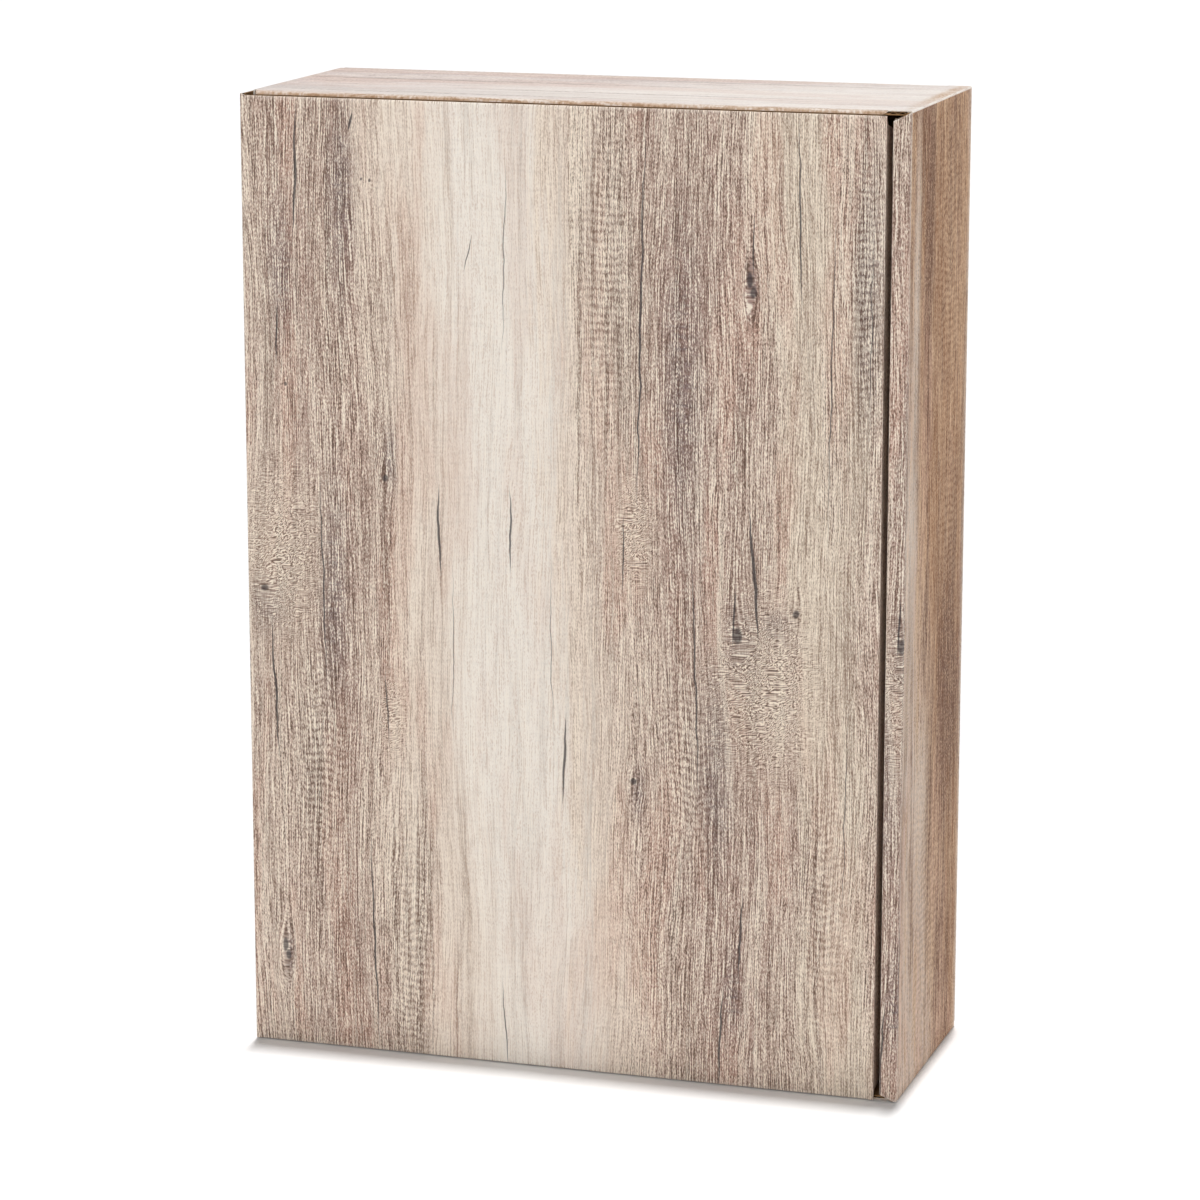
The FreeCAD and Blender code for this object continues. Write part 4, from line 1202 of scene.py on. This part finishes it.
class WINEBOX_OT_insert(bpy.types.Operator):
    """Make the dividers and the neck support that halve into each other"""

    bl_idname = "winebox.insert"
    bl_label = "Bottle insert"

    def execute(self, context):
        for node in ("divider_left", "divider_right"):
            self.divider(node)
        self.neck_support()
        return {"FINISHED"}

    def divider(self, node):
        """Upright board, slit from the front to its middle for the neck support, with round front corners."""
        sizes = settings().insert
        low, high = NODE[node]
        slit = NODE["neck_support"][0].z - sizes.slit_gap, NODE["neck_support"][1].z + sizes.slit_gap
        line = FoldedLine([(low.x, high.y, 0), (low.x, low.y, 0)], UPWARD)
        rows = flute_rows(low.z, high.z, slit)
        past = np.clip(sizes.corner - np.minimum(rows - low.z, high.z - rows), 0, sizes.corner)
        end = line.length - sizes.corner + np.sqrt(sizes.corner ** 2 - past ** 2)
        end = np.where(between(rows, [slit]), line.length / 2, end)
        kraft_board(node, "tray", (line, *grid_across(line, rows, 0.0, end)), ALONG_WIDTH, along_wall(0.0))

    def neck_support(self):
        """Level board with a round-cornered notch for each neck, slit from the back for the dividers."""
        sizes = settings().insert
        low, high = NODE["neck_support"]
        slits = [
            (NODE[node][0].x - sizes.slit_gap - low.x, NODE[node][1].x + sizes.slit_gap - low.x)
            for node in ("divider_left", "divider_right")
        ]
        walls = [NODE["left_wall"][0].x + BOARD, NODE["divider_left"][0].x]
        walls += [NODE["divider_left"][1].x, NODE["divider_right"][0].x]
        walls += [NODE["divider_right"][1].x, NODE["right_inner_wall"][0].x]
        middles = [(first + second) / 2 - low.x for first, second in zip(walls[::2], walls[1::2])]
        half = sizes.notch_width / 2
        notches = [(middle - half, middle + half) for middle in middles]
        line = FoldedLine([(low.x, 0, high.z), (high.x, 0, high.z)], INWARD)
        jumps = [end for span in slits + notches for end in span]
        rows = flute_rows(0, line.length, jumps)
        past = np.clip(sizes.corner - np.minimum(rows, line.length - rows), 0, sizes.corner)
        front = low.y + sizes.corner - np.sqrt(sizes.corner ** 2 - past ** 2)
        from_middle = np.min([abs(rows - middle) for middle in middles], axis=0)
        bend = np.clip(from_middle - (half - sizes.notch_round), 0, sizes.notch_round)
        notch_end = high.y - sizes.notch_end - sizes.notch_round + np.sqrt(sizes.notch_round ** 2 - bend ** 2)
        front = np.where(between(rows, notches), notch_end, front)
        back = np.where(between(rows, slits), (low.y + high.y) / 2, high.y)
        laid = (line, *grid_along(rows, front, back))
        kraft_board("neck_support", "tray", laid, ALONG_LINE, along_line(0.0, 1))


class WINEBOX_OT_creases(bpy.types.Operator):
    """Make the four opening folds, of crushed board"""

    bl_idname = "winebox.creases"
    bl_label = "Opening folds"

    # Leg of the top fold on the right wall, in radii of the fold
    TOP_LEG = 1.02

    def execute(self, context):
        reach = settings().board.crease_reach
        radius = settings().board.crease_radius
        wall, lid, flap = NODE["left_wall"], NODE["lid_panel"], NODE["lid_tuck_flap"]
        top, top_flap = NODE["top_panel"], NODE["top_tuck_flap"]
        self.upright(
            "lid_crease", ("tray", "lid"),
            [(LEFT, FRONT + reach, 0), (LEFT, FRONT, 0), (LEFT + reach, FRONT, 0)],
            radius, (lid[0].z, wall[1].z), (lid[0].z, lid[1].z), -reach,
        )
        edge = lid[1].x
        self.upright(
            "lid_tuck_crease", ("lid", "lid_tuck"),
            [(edge - reach, FRONT, 0), (edge, FRONT, 0), (edge, FRONT + reach, 0)],
            settings().board.slot_radius, (lid[0].z, lid[1].z), (flap[0].z, flap[1].z), edge - LEFT - reach,
        )
        self.level(
            "top_crease", ("top", "tray"),
            [(RIGHT - reach, 0, TOP), (RIGHT, 0, TOP), (RIGHT, 0, TOP - radius * self.TOP_LEG)],
            clear_front(RIGHT), top[1].y, TOP + reach, 1.0,
        )
        self.level(
            "top_tuck_crease", ("top_tuck", "top"),
            [(top[0].x, 0, TOP - reach), (top[0].x, 0, TOP), (top[0].x + reach, 0, TOP)],
            top_flap[0].y, top_flap[1].y, TOP + WIDTH + reach, FIXED_FOLD_WEAR,
        )
        return {"FINISHED"}

    def finish(self, name, bodies, line, s, w, outer, place, ink, wear):
        """Put the fold in the scene."""
        board = settings().board
        worn = line.at(s)[2] * wear
        layer = sheet_layer(line, s, w, outer, outer + board.crease_thickness, place, worn)
        piece = sheet_object(name, [layer], [ink, paper_edge(), kraft_paper()])
        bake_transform(piece)

    def upright(self, name, bodies, corners, radius, start_span, end_span, start):
        """Fold up the box: the washboard of its neighbours runs through it.

        Its ends keep the first board's span for two thirds of the way, and reach the second's at the end.
        """
        board = settings().board
        line = FoldedLine(corners, UPWARD, radius)
        share = np.clip(line.distance / line.length * 3 - 2, 0, 1)
        low = start_span[0] + share * (end_span[0] - start_span[0])
        high = start_span[1] + share * (end_span[1] - start_span[1])
        s, w = grid_stations(line, low, high)[:2]
        sag = board.sag * (1 - np.cos(2 * np.pi * w / board.flute_pitch)) / 2
        self.finish(name, bodies, line, s, w, sag, along_wall(start), wood_print("lid"), FIXED_FOLD_WEAR)

    def level(self, name, bodies, corners, low, high, start, wear):
        """Fold across the box, along the flutes."""
        line = FoldedLine(corners, INWARD, settings().board.crease_radius)
        s, w = grid_along(line.distance, low, high)[:2]
        outer = np.zeros(s.shape)
        self.finish(name, bodies, line, s, w, outer, along_line(start, -1), wood_print("end"), wear)


class WINEBOX_OT_stage(bpy.types.Operator):
    """Set up the floor, the light and the camera"""

    bl_idname = "winebox.stage"
    bl_label = "Stage"

    # Floor: half its width in metres, points to a side, and its two greys
    FLOOR_REACH = 6.0
    FLOOR_POINTS = 9
    FLOOR_TINTS = (0.96, 0.91)
    # Suns from the front and the right: turn from straight down, and spread
    LEVEL = math.radians(88)
    LEVEL_SPREAD = math.radians(20)
    # Suns overhead, which grade the shadow: lean of each to the back, lean to the left, and spread
    TOP_LEANS = tuple(math.radians(lean) for lean in (1.2, 1.9, 2.6))
    TOP_SIDE_LEAN = math.radians(0.33)
    TOP_SPREAD = math.radians(0.8)

    def execute(self, context):
        sizes = settings().stage
        scene = context.scene
        scene.view_settings.view_transform = "Standard"
        self.floor(sizes)
        self.room(sizes)
        self.sun("key_light", sizes.key_light, (self.LEVEL, 0, 0), self.LEVEL_SPREAD)
        self.sun("side_light", sizes.side_light, (0, self.LEVEL, 0), self.LEVEL_SPREAD)
        for number, lean in enumerate(self.TOP_LEANS):
            turn = (-lean, -self.TOP_SIDE_LEAN, 0)
            self.sun(f"top_light_{number}", sizes.top_light / len(self.TOP_LEANS), turn, self.TOP_SPREAD)
        camera = bpy.data.cameras.new("camera")
        camera.lens = sizes.lens
        camera.sensor_width = 36.0
        camera.clip_start = 0.01
        viewer = bpy.data.objects.new("camera", camera)
        viewer.location = sizes.camera_place
        viewer.rotation_euler = (math.pi / 2 - sizes.camera_tilt, 0, sizes.camera_turn)
        scene.collection.objects.link(viewer)
        scene.camera = viewer
        return {"FINISHED"}

    def sun(self, name, power, turn, angle):
        """Soft light from one side, the same all over the floor, without a sheen on faces that it grazes."""
        lamp = bpy.data.lights.new(name, "SUN")
        lamp.energy = power
        lamp.angle = angle
        holder = bpy.data.objects.new(name, lamp)
        holder.rotation_euler = turn
        holder.visible_glossy = False
        bpy.context.scene.collection.objects.link(holder)

    def floor(self, sizes):
        """Wide level floor just under the box."""
        places = np.linspace(-self.FLOOR_REACH, self.FLOOR_REACH, self.FLOOR_POINTS)
        x, y = np.meshgrid(places, places, indexing="ij")
        points = np.stack((x, y, np.zeros_like(x)), -1).reshape(-1, 3)
        faces = grid_faces(np.arange(x.size).reshape(x.shape))
        mesh = bpy.data.meshes.new("floor")
        mesh.from_pydata(points.tolist(), [], faces.tolist())
        material, tree, shader = new_material("pale_floor")
        place = add_node(tree, "ShaderNodeTexCoord").outputs["Object"]
        inputs = {"Vector": place, "Scale": 40.0, "Detail": 3.0}
        grit = add_node(tree, "ShaderNodeTexNoise", inputs).outputs["Fac"]
        tints = [opaque((level, level, level)) for level in self.FLOOR_TINTS]
        tint = mix(tree, calc(tree, "MULTIPLY", grit, 0.1), *tints)
        tree.links.new(tint, shader.inputs["Base Color"])
        shader.inputs["Roughness"].default_value = 0.9
        shader.inputs["Specular IOR Level"].default_value = 0.1
        path = add_node(tree, "ShaderNodeLightPath").outputs
        seen = calc(tree, "MULTIPLY", path["Is Camera Ray"], sizes.floor_lift)
        tree.links.new(seen, shader.inputs["Emission Strength"])
        shader.inputs["Emission Color"].default_value = (1, 1, 1, 1)
        mesh.materials.append(material)
        floor = bpy.data.objects.new("floor", mesh)
        bpy.context.scene.collection.objects.link(floor)

    def room(self, sizes):
        """White to the camera and in reflections, plain light for the object."""
        world = bpy.data.worlds.new("room")
        bpy.context.scene.world = world
        world.use_nodes = True
        tree = world.node_tree
        tree.nodes.clear()
        path = add_node(tree, "ShaderNodeLightPath").outputs
        seen = calc(tree, "MAXIMUM", path["Is Camera Ray"], path["Is Transmission Ray"])
        seen = calc(tree, "MAXIMUM", seen, path["Is Glossy Ray"])
        inputs = {0: seen}
        for place, level in ((1, sizes.room_light), (2, 1.0)):
            white = {"Color": (1, 1, 1, 1), "Strength": level}
            inputs[place] = add_node(tree, "ShaderNodeBackground", white).outputs[0]
        both = add_node(tree, "ShaderNodeMixShader", inputs).outputs[0]
        output = add_node(tree, "ShaderNodeOutputWorld")
        tree.links.new(both, output.inputs["Surface"])


OPERATORS = (
    WINEBOX_OT_walls,
    WINEBOX_OT_lid,
    WINEBOX_OT_ends,
    WINEBOX_OT_dust_flaps,
    WINEBOX_OT_insert,
    WINEBOX_OT_creases,
    WINEBOX_OT_stage,
)


class WINEBOX_PT_panel(bpy.types.Panel):
    """Sidebar list of the box's pieces"""

    bl_idname = "WINEBOX_PT_panel"
    bl_label = "Wine gift box"
    bl_space_type = "VIEW_3D"
    bl_region_type = "UI"
    bl_category = "Wine box"

    def draw(self, context):
        for operator in OPERATORS:
            self.layout.operator(operator.bl_idname)


GROUPS = (BoardSizes, FlapSizes, InsertSizes, PrintColours, StageSizes, BoxSettings)


def register():
    """Register the settings, the operators and the panel."""
    for part in GROUPS + OPERATORS + (WINEBOX_PT_panel,):
        bpy.utils.register_class(part)
    bpy.types.Scene.wine_box = PointerProperty(type=BoxSettings)


def unregister():
    """Take the settings, the operators and the panel away again."""
    del bpy.types.Scene.wine_box
    for part in reversed(GROUPS + OPERATORS + (WINEBOX_PT_panel,)):
        bpy.utils.unregister_class(part)


def main():
    """Make every piece in order and set up the stage."""
    register()
    bpy.ops.winebox.walls()
    bpy.ops.winebox.lid()
    bpy.ops.winebox.ends()
    bpy.ops.winebox.dust_flaps()
    bpy.ops.winebox.insert()
    bpy.ops.winebox.creases()
    bpy.ops.winebox.stage()


if __name__ == "__main__":
    main()
